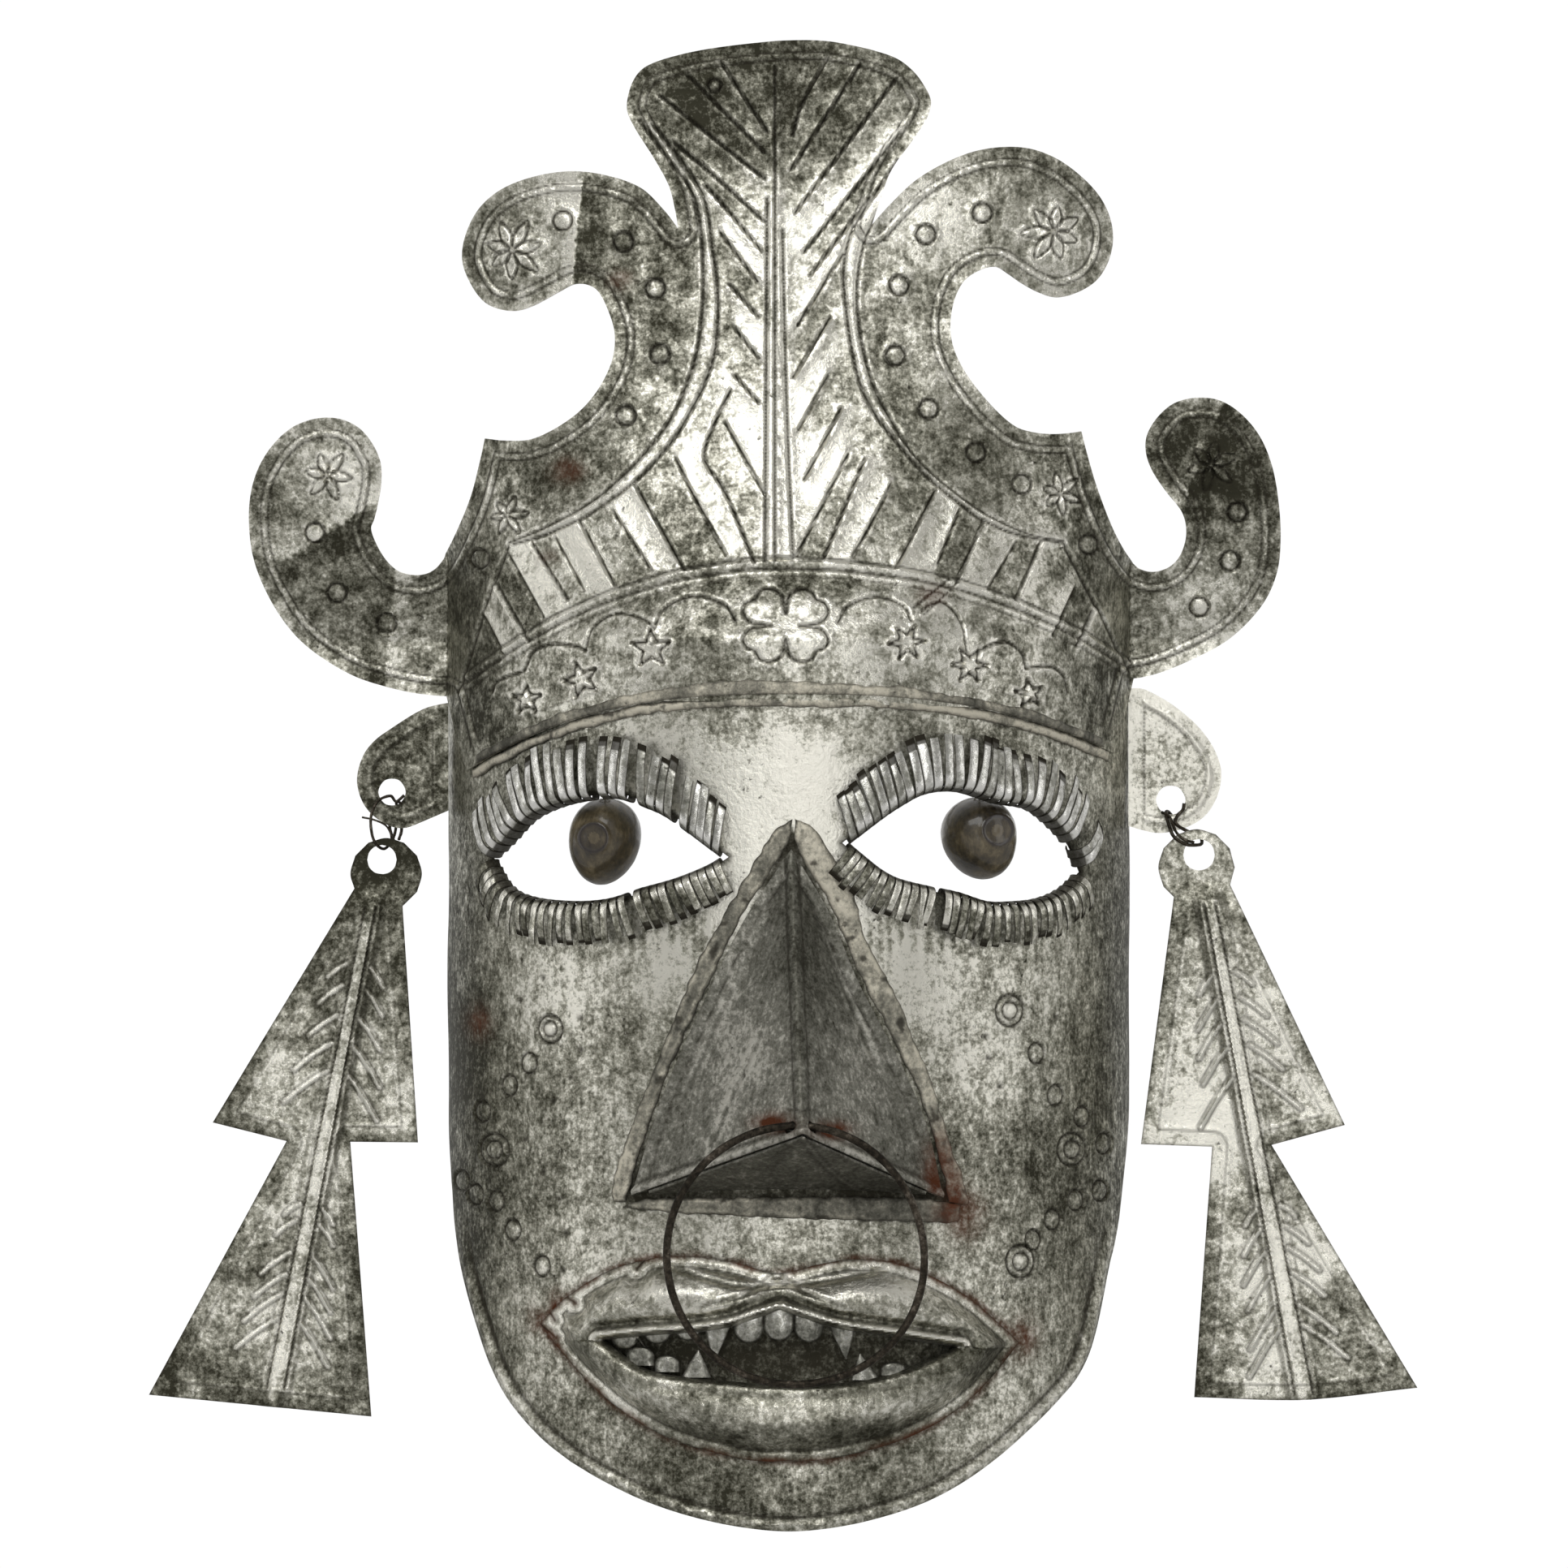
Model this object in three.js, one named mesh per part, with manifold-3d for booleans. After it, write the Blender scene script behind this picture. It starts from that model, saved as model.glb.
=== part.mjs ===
// A wall mask of beaten tin: a half-round face shell, a tall crown, soldered nose and lips,
// strip eyelashes, seed eyes, a nose ring and two hanging earrings.
// Millimetres, +Z up. The front of the mask faces -Y and the wall is the plane y = 0.
import * as THREE from "three";
import { mergeVertices } from "three/addons/utils/BufferGeometryUtils.js";
import Module from "manifold-3d";

const wasm = await Module();
wasm.setup();

// ---------- driving dimensions ----------
const SHELL_HALF_WIDTH = 97.5;
const SHELL_DEPTH = 90;
const SHELL_TOP = 8;
const SHELL_BOTTOM = -245;
const TIN = 0.8; // sheet of the shell, nose, ears and strap
const THIN_TIN = 0.6; // sheet of the crown, lips, teeth and earrings
const LASH_TIN = 0.5;
const LASH_COUNT = 20; // strips in a fringe
const LASH_ROOT = 1.9; // their root band lies this far behind the shell's outer face
const LASH_ROOT_WIDTH = 2.2;
const LASH_LIFT_UPPER = 5.2; // height of the strips' curl over the shell
const LASH_LIFT_LOWER = 4.6;
const GAP = 0.3; // clearance left where two pieces are soldered together
const SOLDER = 1.1; // height of a soldered strip above the shell
const BAND_SOLDER_FROM = 0.4; // the headband's solder lies this far below its edge
const BAND_SOLDER_TO = 3.2;
const RIM_WIDTH = 3.4; // the wired edge along the chin
const RIM_HEIGHT = 1.3;
const RIM_INSET = 0.2;
const RIM_TOP = -165; // it runs out at this height on each side
const CURVE_STEPS = 2; // straight steps between two points of a smooth outline

const CROWN_CLEARANCE = 1.3; // crown's outer face over the shell's outer face
const CROWN_RISE_FROM = 11; // the crown hugs the shell up to this height
const CROWN_LEAN = 50; // how far the crown leans back towards the wall
const CROWN_LEAN_HEIGHT = 85;
const CROWN_OPEN_HEIGHT = 86; // height over which its curl opens out
const FOLD_X = 97.4; // the wings fold outwards here
const BAND_FRONT_Z = -5; // lower edge of the headband, at the middle
const BAND_DROP_LEFT = 21.8;
const BAND_DROP_RIGHT = 16.2;
const BAND_END_LEFT = -91.4;
const BAND_END_RIGHT = 92.6;

const STRAP_LENGTH = 192.4; // across the back, between the shell's rear edges
const STRAP_WIDTH = 14;
const NAIL_HOLE = 2.2;
const NAIL_HOLE_Z = 3.6;

const EAR_Y = -14;
const EARRING_Y = -18;
const LINK_WIRE = 0.45;
const RIB_HEIGHT = 2.8; // of an earring's middle rib

const NOSE_TOP = new THREE.Vector3(0.6, -91.5, -48.5);
const NOSE_TIP = new THREE.Vector3(3.8, -122, -128.4);
const NOSE_LEFT = new THREE.Vector3(-44.5, -81.7, -146.3);
const NOSE_RIGHT = new THREE.Vector3(43.4, -82.3, -147);
const NOSE_STANDOFF = 1.3;
const NOSE_FOOT_Z = -146.6;
const NOSE_FOOT_ARCH = 2.2; // rise of the foot line at the middle
const NOSE_FOOT_HALF = 44;
const NOSE_BASE_DROP = 1.3; // the underside starts this far below the bridge's edge
const RING_RADIUS = 36.3;
const RING_WIRE = 1.15;
const RING_TOP = new THREE.Vector3(1.8, -117.5, -126.4);
const RING_HOLE = 1.9;

const LIP_STANDOFF = 1.1; // rim of the lips over the shell
const LIP_BULGE = 7.5;
const LIP_ROUND = 11; // the lips swell over this distance from their rim
const LIP_TURN = 3.5; // and turn in by this much at the mouth
const LIP_TURN_WIDTH = 4;
const TEETH_OUT = 2.9; // the teeth's front face over the shell

const EYE_Y = -65;
const EYE_WIRE = 0.45;
const EYE_LOOP = 2.2;
const EYE_STEM = 8; // straight wire from the loop down into the seed
const SEED_TAPER = 0.1; // a seed is this much wider towards its top
const SEED_BORE_BOTTOM = -41.2;
const EYE_TAB_TOP = -20;
const EYE_TAB_BOTTOM = -27;
const EYE_TAB_HOLE_Z = -27.7;
const EYE_TAB_HOLE = 1.5;
const EYE_TAB_ROUND = 3.4;
const SEED_LEFT = { x: -52.3, z: -46.5, width: 20.4, height: 24.8, tilt: 0.2 };
const SEED_RIGHT = { x: 54, z: -45.6, width: 21.4, height: 23.6, tilt: -0.3 };

// ---------- outlines, as seen from the front: [x, z] ----------
const JAW_RIGHT = [[97.6, -118], [94.4, -153], [90.6, -170], [84.6, -194], [73.1, -208.2],
  [52.4, -225.5], [30, -236], [0, -241]];
const JAW_LEFT = [[-31, -236], [-55.7, -225.5], [-71.8, -214], [-83.3, -199], [-91.4, -176],
  [-95.8, -153], [-97.6, -118]];
const PLUME = [[-34.5, 140.5], [-44, 156.5], [-46, 163], [-43, 171.5], [-35.5, 175.6], [-19.5, 179],
  [4, 181], [18, 179.5], [32, 175], [39.5, 166], [39.6, 160], [35, 152.5], [29, 144],
  [25.5, 134.5], [23.5, 128.5]];
const SCROLL_RIGHT = [[36.3, 141.4], [53.7, 149.7], [71.5, 149.5], [86.4, 139], [91.9, 126.5],
  [88, 113.8], [76.3, 108], [65.5, 112.2], [57.9, 116.6], [48.7, 111.3], [45.7, 98],
  [50.5, 85.5], [62.9, 72], [74, 69.2], [83, 70]];
const WING_RIGHT = [[87.3, 54.5], [94, 38.6], [101.4, 30.5], [110.6, 33.5], [112.9, 45.3],
  [104, 58], [101.8, 68.7], [110, 78.4], [124, 78.6], [135.6, 66.2], [140, 45.3], [138, 26.4],
  [126, 11.5], [107.6, 2.2], [98.4, -0.1]];
const WING_LEFT = [[-108.2, -4], [-125.2, 1.1], [-141.3, 12.6], [-151.7, 30.5], [-154, 47.6],
  [-150.7, 61], [-142.2, 71], [-131.2, 74.2], [-121.8, 70.6], [-116.2, 60.4], [-117.6, 47.6],
  [-119, 41.6], [-113.2, 31.9], [-104.5, 29.6], [-98.1, 34.7], [-90.2, 51.7], [-86.3, 68]];
const SCROLL_LEFT = [[-72.3, 67.8], [-57, 77.7], [-49.3, 93.6], [-53.4, 108.5], [-60, 111.6],
  [-68.4, 107.6], [-77.5, 104.2], [-87.3, 107.6], [-92.8, 121.5], [-84.5, 137], [-64, 143.7],
  [-43, 139.5], [-31.5, 127.5]];
const EAR_LEFT = [[-104, -8.6], [-111.6, -13], [-120.1, -19.6], [-123.4, -28.6], [-121.1, -36.6],
  [-115.5, -41.5], [-110.3, -42.8], [-105.2, -41.2], [-97.3, -37.8]];
const EAR_RIGHT = [[101.8, -3.3], [111.2, -8.8], [119.3, -16.8], [123.4, -26.3], [121.4, -35.7],
  [115.6, -41.6], [106, -44.2], [96.9, -42.2]];
const LID_UPPER_LEFT = [[-84.5, -51], [-78.5, -45.5], [-72.3, -39.2], [-65, -35.6], [-57, -33.6],
  [-48, -33], [-40.5, -35.3], [-34, -38.2], [-24.5, -45], [-17, -50.8]];
const LID_LOWER_LEFT = [[-17, -50.8], [-22.5, -54.2], [-31.5, -57.9], [-41, -60.6], [-50, -63.6],
  [-60, -64.5], [-71.8, -63.4], [-79, -60], [-84.5, -51]];
const LID_UPPER_RIGHT = [[15, -46.8], [23.3, -40.3], [30, -35.6], [37.6, -31.7], [47, -31],
  [58, -34.3], [67, -36], [74, -41.2], [79.2, -47.2], [82.8, -55.2]];
const LID_LOWER_RIGHT = [[82.8, -55.2], [77, -60.7], [70, -63.7], [62, -64.6], [55, -64.4],
  [46.5, -61.7], [37.5, -59.8], [27, -56.4], [15, -46.8]];
const NOSE_EDGE_RIGHT = [[11.2, -66.3], [19.3, -85.6], [31.2, -108.4], [39.3, -128.4], [43.4, -147]];
const NOSE_EDGE_LEFT = [[-35.7, -118], [-25.1, -93.9], [-13.2, -69.5], [0.6, -48.5]];
const MOUTH_OUTLINE_TOP = [[-62, -174.5], [-48, -166.5], [-31, -163.4], [-15, -165.2], [-3.8, -168.2],
  [8, -165.8], [19, -164.3], [34, -166.5], [51, -175.5], [65, -188.2]];
const MOUTH_OUTLINE_BOTTOM = [[52, -203.5], [34, -214.5], [12, -220.4], [-1, -221.1], [-14, -220.4],
  [-37, -213.5], [-56, -200], [-70.7, -183.1]];
const MOUTH_UPPER_EDGE = [[-38, -184.2], [-18, -181.5], [-3, -178.8], [12, -181.2], [30, -184.6],
  [45.7, -189.1]];
const MOUTH_LOWER_EDGE = [[33.7, -194.6], [18.8, -198.5], [-1, -199.6], [-19.2, -198.1],
  [-38.3, -195.6], [-50.7, -187.3]];

// ---------- surfaces ----------
function shellY(x, out = 0) {
  const share = Math.min(1, Math.abs(x) / (SHELL_HALF_WIDTH + out));
  return -(SHELL_DEPTH + out) * Math.sqrt(1 - share * share);
}

function shellNormal(x) {
  const y = shellY(x);
  return new THREE.Vector3(x / SHELL_HALF_WIDTH ** 2, y / SHELL_DEPTH ** 2, 0).normalize();
}

function crownY(x, z) {
  const rise = Math.max(0, z - CROWN_RISE_FROM);
  const depth = SHELL_DEPTH + CROWN_CLEARANCE;
  const front = depth - CROWN_LEAN * (1 - Math.exp(-rise / CROWN_LEAN_HEIGHT));
  const curl = depth * Math.exp(-rise / CROWN_OPEN_HEIGHT);
  const share = Math.min(Math.abs(x), FOLD_X) / (SHELL_HALF_WIDTH + CROWN_CLEARANCE);
  return -front + curl * (1 - Math.sqrt(1 - share * share));
}

function bandEdgeZ(x) {
  const drop = x < 0 ? BAND_DROP_LEFT : BAND_DROP_RIGHT;
  return BAND_FRONT_Z - drop * (Math.abs(x) / 92) ** 2.7;
}

function plane(a, b, c) {
  const n = new THREE.Vector3().crossVectors(b.clone().sub(a), c.clone().sub(a));
  return (x, z) => a.y - (n.x * (x - a.x) + n.z * (z - a.z)) / n.y;
}

const noseLeftPlane = plane(NOSE_TOP, NOSE_TIP, NOSE_LEFT);
const noseRightPlane = plane(NOSE_TOP, NOSE_TIP, NOSE_RIGHT);

function noseY(x, z) {
  const plates = Math.max(noseLeftPlane(x, z), noseRightPlane(x, z));
  return Math.min(plates, shellY(x, NOSE_STANDOFF));
}

function noseRidgeX(z) {
  return THREE.MathUtils.mapLinear(z, NOSE_TOP.z, NOSE_TIP.z, NOSE_TOP.x, NOSE_TIP.x);
}

function noseLowerZ(x) {
  const corner = x < NOSE_TIP.x ? NOSE_LEFT : NOSE_RIGHT;
  return THREE.MathUtils.mapLinear(x, NOSE_TIP.x, corner.x, NOSE_TIP.z, corner.z);
}

function noseFootZ(x) {
  return NOSE_FOOT_Z + NOSE_FOOT_ARCH * (1 - (x / NOSE_FOOT_HALF) ** 2);
}

// ---------- making solids ----------
function solidOf(geometry) {
  const bare = geometry.index ? geometry.toNonIndexed() : geometry.clone();
  bare.deleteAttribute("normal");
  bare.deleteAttribute("uv");
  const merged = mergeVertices(bare, 1e-4);
  return new wasm.Manifold(new wasm.Mesh({
    numProp: 3,
    vertProperties: merged.attributes.position.array,
    triVerts: new Uint32Array(merged.index.array),
  }));
}

function geometryOf(solid) {
  const mesh = solid.getMesh();
  const geometry = new THREE.BufferGeometry();
  geometry.setAttribute("position", new THREE.BufferAttribute(mesh.vertProperties, 3));
  geometry.setIndex(new THREE.BufferAttribute(mesh.triVerts, 1));
  geometry.computeVertexNormals();
  return geometry;
}

// A closed slab between two grids of points; columns run along +X and rows along +Z.
function slab(front, back) {
  const columns = front.length;
  const rows = front[0].length;
  const points = [...front.flat(), ...back.flat()];
  const at = (side, i, j) => (side * columns + i) * rows + j;
  const index = [];
  const quad = (a, b, c, d) => index.push(a, b, c, a, c, d);
  for (let i = 0; i < columns - 1; i++) {
    for (let j = 0; j < rows - 1; j++) {
      quad(at(0, i, j), at(0, i + 1, j), at(0, i + 1, j + 1), at(0, i, j + 1));
      quad(at(1, i, j + 1), at(1, i + 1, j + 1), at(1, i + 1, j), at(1, i, j));
    }
    const top = rows - 1;
    quad(at(0, i + 1, 0), at(0, i, 0), at(1, i, 0), at(1, i + 1, 0));
    quad(at(0, i, top), at(0, i + 1, top), at(1, i + 1, top), at(1, i, top));
  }
  for (let j = 0; j < rows - 1; j++) {
    const end = columns - 1;
    quad(at(0, 0, j), at(0, 0, j + 1), at(1, 0, j + 1), at(1, 0, j));
    quad(at(0, end, j + 1), at(0, end, j), at(1, end, j), at(1, end, j + 1));
  }
  const geometry = new THREE.BufferGeometry().setFromPoints(points);
  geometry.setIndex(index);
  return solidOf(geometry);
}

// A sheet whose outer face passes through pointAt(i, j) and whose thickness lies behind it.
function sheet(columns, rows, thickness, pointAt) {
  const front = [];
  for (let i = 0; i < columns; i++) {
    front.push([]);
    for (let j = 0; j < rows; j++) front[i].push(pointAt(i, j));
  }
  const back = front.map((column, i) => column.map((point, j) => {
    const across = front[Math.min(i + 1, columns - 1)][j].clone().sub(front[Math.max(i - 1, 0)][j]);
    const up = column[Math.min(j + 1, rows - 1)].clone().sub(column[Math.max(j - 1, 0)]);
    const outward = across.cross(up).normalize();
    return point.clone().addScaledVector(outward, -thickness);
  }));
  return slab(front, back);
}

function steps(from, to, count) {
  return Array.from({ length: count + 1 }, (_, i) => from + ((to - from) * i) / count);
}

// Part of the shell's own curve, between two heights above its outer face.
function shellSlab(outFront, outBack, fromX, toX, columns, bottom, top) {
  const angle = (x, out) => Math.acos(THREE.MathUtils.clamp(-x / (SHELL_HALF_WIDTH + out), -1, 1));
  const ring = (out) => steps(angle(fromX, out), angle(toX, out), columns).map((t) => {
    const x = -(SHELL_HALF_WIDTH + out) * Math.cos(t);
    const y = -(SHELL_DEPTH + out) * Math.sin(t);
    return [new THREE.Vector3(x, y, bottom), new THREE.Vector3(x, y, top)];
  });
  return slab(ring(outFront), ring(outBack));
}

// An outline from a start point: a piece of one point is a straight line, a longer one a smooth curve.
function outline(start, ...pieces) {
  const path = new THREE.Path();
  path.moveTo(start[0], start[1]);
  for (const piece of pieces) {
    if (piece.length === 1) path.lineTo(piece[0][0], piece[0][1]);
    else path.splineThru(piece.map(([x, z]) => new THREE.Vector2(x, z)));
  }
  const points = path.getPoints(CURVE_STEPS);
  if (points[0].distanceTo(points[points.length - 1]) < 0.01) points.pop();
  return new THREE.Shape(points);
}

function polygon(points) {
  return new THREE.Shape(points.map(([x, z]) => new THREE.Vector2(x, z)));
}

// The outline, less its holes, pushed along Y: right through the mask, or between two depths.
function prism(shape, segments = CURVE_STEPS, front = -240, back = 10) {
  const push = (path) => {
    const geometry = new THREE.ExtrudeGeometry(new THREE.Shape(path.getPoints(segments)), {
      depth: back - front,
      bevelEnabled: false,
    });
    geometry.rotateX(Math.PI / 2);
    geometry.translate(0, back, 0);
    return solidOf(geometry);
  };
  return shape.holes.reduce((solid, hole) => solid.subtract(push(hole)), push(shape));
}

function circle(x, z, radius) {
  const shape = new THREE.Shape();
  shape.absarc(x, z, radius, 0, 2 * Math.PI);
  return shape;
}

function rod(radius, length, axis) {
  const geometry = new THREE.CylinderGeometry(radius, radius, length, 12);
  if (axis === "x") geometry.rotateZ(Math.PI / 2);
  if (axis === "z") geometry.rotateX(Math.PI / 2);
  return geometry;
}

// A closed loop of wire round centreAt(angle).
function wireLoop(centreAt, radius, turns, sides) {
  const points = [];
  const index = [];
  for (let i = 0; i < turns; i++) {
    const angle = (2 * Math.PI * i) / turns;
    const centre = centreAt(angle);
    const along = centreAt(angle + 0.01).sub(centreAt(angle - 0.01)).normalize();
    const out = centre.clone().sub(centreAt(angle + Math.PI)).projectOnPlane(along).normalize();
    const side = along.clone().cross(out);
    for (let k = 0; k < sides; k++) {
      const turn = (2 * Math.PI * k) / sides;
      const point = centre.clone().addScaledVector(out, radius * Math.cos(turn));
      points.push(point.addScaledVector(side, radius * Math.sin(turn)));
      const a = i * sides + k;
      const b = i * sides + ((k + 1) % sides);
      const c = ((i + 1) % turns) * sides + ((k + 1) % sides);
      const d = ((i + 1) % turns) * sides + k;
      index.push(a, b, c, a, c, d);
    }
  }
  const geometry = new THREE.BufferGeometry().setFromPoints(points);
  geometry.setIndex(index);
  const solid = solidOf(geometry);
  if (solid.volume() > 0) return solid;
  geometry.setIndex(index.map((_, n) => index[n - (n % 3) + (2 - (n % 3))]));
  return solidOf(geometry);
}

// ---------- the pieces ----------
function faceOutline() {
  const clear = SHELL_HALF_WIDTH + 1;
  const shape = outline([-clear, SHELL_TOP], [[clear, SHELL_TOP]], [[clear, JAW_RIGHT[0][1]]],
    [JAW_RIGHT[0]], JAW_RIGHT.slice(1).concat(JAW_LEFT), [[-clear, JAW_RIGHT[0][1]]]);
  for (const [upper, lower] of [[LID_UPPER_LEFT, LID_LOWER_LEFT], [LID_UPPER_RIGHT, LID_LOWER_RIGHT]]) {
    shape.holes.push(outline(upper[0], upper.slice(1), lower.slice(1)));
  }
  return shape;
}

function faceShell() {
  const blank = shellSlab(0, -TIN, -SHELL_HALF_WIDTH, SHELL_HALF_WIDTH, 32, SHELL_BOTTOM, SHELL_TOP);
  return blank.intersect(prism(faceOutline()));
}

// The wired edge along the chin.
function chinRim() {
  const edge = new THREE.SplineCurve(JAW_RIGHT.concat(JAW_LEFT).map(([x, z]) => new THREE.Vector2(x, z)));
  const along = edge.getSpacedPoints(80).filter((p) => p.y < RIM_TOP);
  const centre = new THREE.Vector2(0, JAW_RIGHT[0][1]);
  const shrink = (distance) => along.map((p) => {
    const inward = centre.clone().sub(p).normalize();
    return p.clone().addScaledVector(inward, distance);
  });
  const shape = new THREE.Shape(shrink(RIM_INSET).concat(shrink(RIM_INSET + RIM_WIDTH).reverse()));
  const reach = SHELL_HALF_WIDTH - 3;
  const blank = shellSlab(GAP + RIM_HEIGHT, GAP, -reach, reach, 28, SHELL_BOTTOM, RIM_TOP + 15);
  return blank.intersect(prism(shape));
}

function crownOutline() {
  const band = steps(BAND_END_RIGHT, BAND_END_LEFT, 24).map((x) => [x, bandEdgeZ(x)]);
  return outline([-31.5, 127.5], PLUME, SCROLL_RIGHT, WING_RIGHT, [band[0]], band.slice(1),
    [[-97, -5.2]], WING_LEFT, SCROLL_LEFT);
}

function crownSheet() {
  const foldAngle = Math.PI / 2.15; // closer columns towards the folds, where the curve is steep
  const curved = steps(-foldAngle, foldAngle, 22).map((t) => (FOLD_X * Math.sin(t)) / Math.sin(foldAngle));
  const across = [-158, ...curved, 145];
  const heights = [-30, CROWN_RISE_FROM, ...steps(26, 184, 7)];
  const blank = sheet(across.length, heights.length, THIN_TIN, (i, j) =>
    new THREE.Vector3(across[i], crownY(across[i], heights[j]), heights[j]));
  return blank.intersect(prism(crownOutline()));
}

// The fillet of solder that holds the headband to the forehead.
function foreheadSeam() {
  const xs = steps(-90, 91, 30);
  const shape = polygon(xs.map((x) => [x, bandEdgeZ(x) - BAND_SOLDER_FROM])
    .concat(xs.reverse().map((x) => [x, bandEdgeZ(x) - BAND_SOLDER_TO])));
  return shellSlab(SOLDER + GAP, GAP, -92, 93, 28, -40, 0).intersect(prism(shape));
}

function ear(side, points, hole) {
  const shape = outline([side * (side < 0 ? 97.3 : 96.9), side < 0 ? -7 : -3], points);
  shape.holes.push(circle(hole.x, hole.z, hole.r));
  return prism(shape, 3, EAR_Y, EAR_Y + TIN);
}

function noseBridge() {
  const rows = steps(-150, -46, 8);
  const columns = 13;
  const blank = sheet(columns, rows.length, TIN, (i, j) => {
    const z = rows[j];
    const share = (i / (columns - 1)) * 2 - 1;
    const ridge = noseRidgeX(z);
    const x = share < 0 ? ridge + share * (ridge + 52) : ridge + share * (52 - ridge);
    return new THREE.Vector3(x, noseY(x, z), z);
  });
  const shape = outline([NOSE_TOP.x, NOSE_TOP.z], NOSE_EDGE_RIGHT, [[NOSE_TIP.x, NOSE_TIP.z]],
    [[NOSE_LEFT.x, NOSE_LEFT.z]], NOSE_EDGE_LEFT);
  const slots = rod(RING_HOLE, 30, "x").translate(NOSE_TIP.x, RING_TOP.y, RING_TOP.z - 0.2);
  return blank.intersect(prism(shape)).subtract(solidOf(slots));
}

// The underside of the nose, from the foot on the upper lip to the lower edge of the bridge.
function noseBase() {
  const xs = steps(-39.5, 38.5, 16);
  xs.push(NOSE_TIP.x);
  xs.sort((a, b) => a - b);
  return sheet(xs.length, 5, TIN, (i, j) => {
    const x = xs[i];
    const share = j / 4;
    const top = noseLowerZ(x) - NOSE_BASE_DROP;
    const z = THREE.MathUtils.lerp(noseFootZ(x), top, share);
    const front = noseY(x, top + NOSE_BASE_DROP);
    const y = THREE.MathUtils.lerp(shellY(x, NOSE_STANDOFF + 0.4), front, share);
    return new THREE.Vector3(x, y, z);
  });
}

function noseSeam(shape) {
  return shellSlab(SOLDER + GAP, GAP, -56, 57, 26, -158, -36).intersect(prism(shape, 3));
}

function noseSeamLeft() {
  const plate = [[-36.9, -118], [-26.3, -93.9], [-14.4, -69.5], [-1, -47.6]];
  return noseSeam(outline([1, -40.1], [[-5.1, -44.7], [-16.4, -64], [-25.1, -79.5], [-35.7, -104],
    [-43.8, -124.5], [-49.5, -140.6]], [[-49.9, -148.4]], [[-46, -148.2]], [[-45.9, -146.4]], plate));
}

function noseSeamRight() {
  const plate = [[2.2, -47.6], [12.4, -66], [20.6, -85.2], [32.4, -108], [40.6, -128.2], [44.8, -147]];
  return noseSeam(outline([1.6, -40.1], [plate[0]], plate.slice(1), [[45.2, -148.6]],
    [[50.8, -148.6]], [[45.4, -130.9], [39.3, -112.3], [31.2, -92.3], [22.4, -75]],
    [[20.4, -70]], [[17.4, -59.8], [8, -43.7], [1.6, -40.1]]));
}

function noseSeamBottom() {
  const xs = steps(-45.2, 44.2, 12);
  const upper = xs.map((x) => [x, noseFootZ(x) - 1.2 - (Math.abs(x) > 40 ? 0.8 : 0)]);
  return noseSeam(outline(upper[0], ...upper.slice(1).map((p) => [p]), [[48.4, -149.4]],
    [[48, -154.2]], [[20, -153.6], [0, -153], [-25, -151.8], [-47, -149.8]]));
}

function distanceTo(points, x, z) {
  const point = new THREE.Vector3(x, z, 0);
  const nearest = new THREE.Vector3();
  let least = Infinity;
  points.forEach((p, i) => {
    const q = points[(i + 1) % points.length];
    const line = new THREE.Line3(new THREE.Vector3(p.x, p.y, 0), new THREE.Vector3(q.x, q.y, 0));
    line.closestPointToPoint(point, true, nearest);
    least = Math.min(least, nearest.distanceTo(point));
  });
  return least;
}

function mouthPlate() {
  const shape = outline([-70.7, -183.1], MOUTH_OUTLINE_TOP, MOUTH_OUTLINE_BOTTOM);
  const opening = outline([-50.7, -187.3], MOUTH_UPPER_EDGE, MOUTH_LOWER_EDGE);
  shape.holes.push(opening);
  const rim = shape.getPoints(3);
  const edge = opening.getPoints(3);
  const across = steps(-72, 66, 24);
  const heights = steps(-222, -162, 12);
  const blank = sheet(across.length, heights.length, THIN_TIN, (i, j) => {
    const x = across[i];
    const z = heights[j];
    const swell = LIP_BULGE * Math.sin((Math.PI / 2) * Math.min(1, distanceTo(rim, x, z) / LIP_ROUND));
    const turn = LIP_TURN * (1 - Math.min(1, distanceTo(edge, x, z) / LIP_TURN_WIDTH));
    return new THREE.Vector3(x, shellY(x, LIP_STANDOFF) - Math.max(0, swell - turn), z);
  });
  return blank.intersect(prism(shape, 2));
}

// A strip of teeth: each tooth is [middle x, half width, tip z], round ones and pointed fangs.
function teeth(rootLine, list, grow) {
  const shape = new THREE.Shape();
  shape.moveTo(list[0].x - list[0].half - 1, rootLine(list[0].x - list[0].half - 1) + grow);
  for (const tooth of list) {
    const left = tooth.x - tooth.half;
    const right = tooth.x + tooth.half;
    shape.lineTo(left, rootLine(left));
    if (tooth.fang) {
      shape.lineTo(tooth.x + tooth.fang, tooth.tip);
      shape.lineTo(right, rootLine(right));
    } else {
      const reach = tooth.tip * 1.3 - rootLine(tooth.x) * 0.3;
      shape.bezierCurveTo(left, reach, right, reach, right, rootLine(right));
    }
  }
  const last = list[list.length - 1];
  const back = steps(last.x + last.half + 1, list[0].x - list[0].half - 1, 8);
  back.forEach((x) => shape.lineTo(x, rootLine(x) + grow));
  const reach = 24; // of the blank strip, above and below the roots
  const middle = rootLine(0);
  const blank = shellSlab(TEETH_OUT, TEETH_OUT - THIN_TIN, -56, 52, 22, middle - reach, middle + reach);
  return blank.intersect(prism(shape, 4));
}

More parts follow.
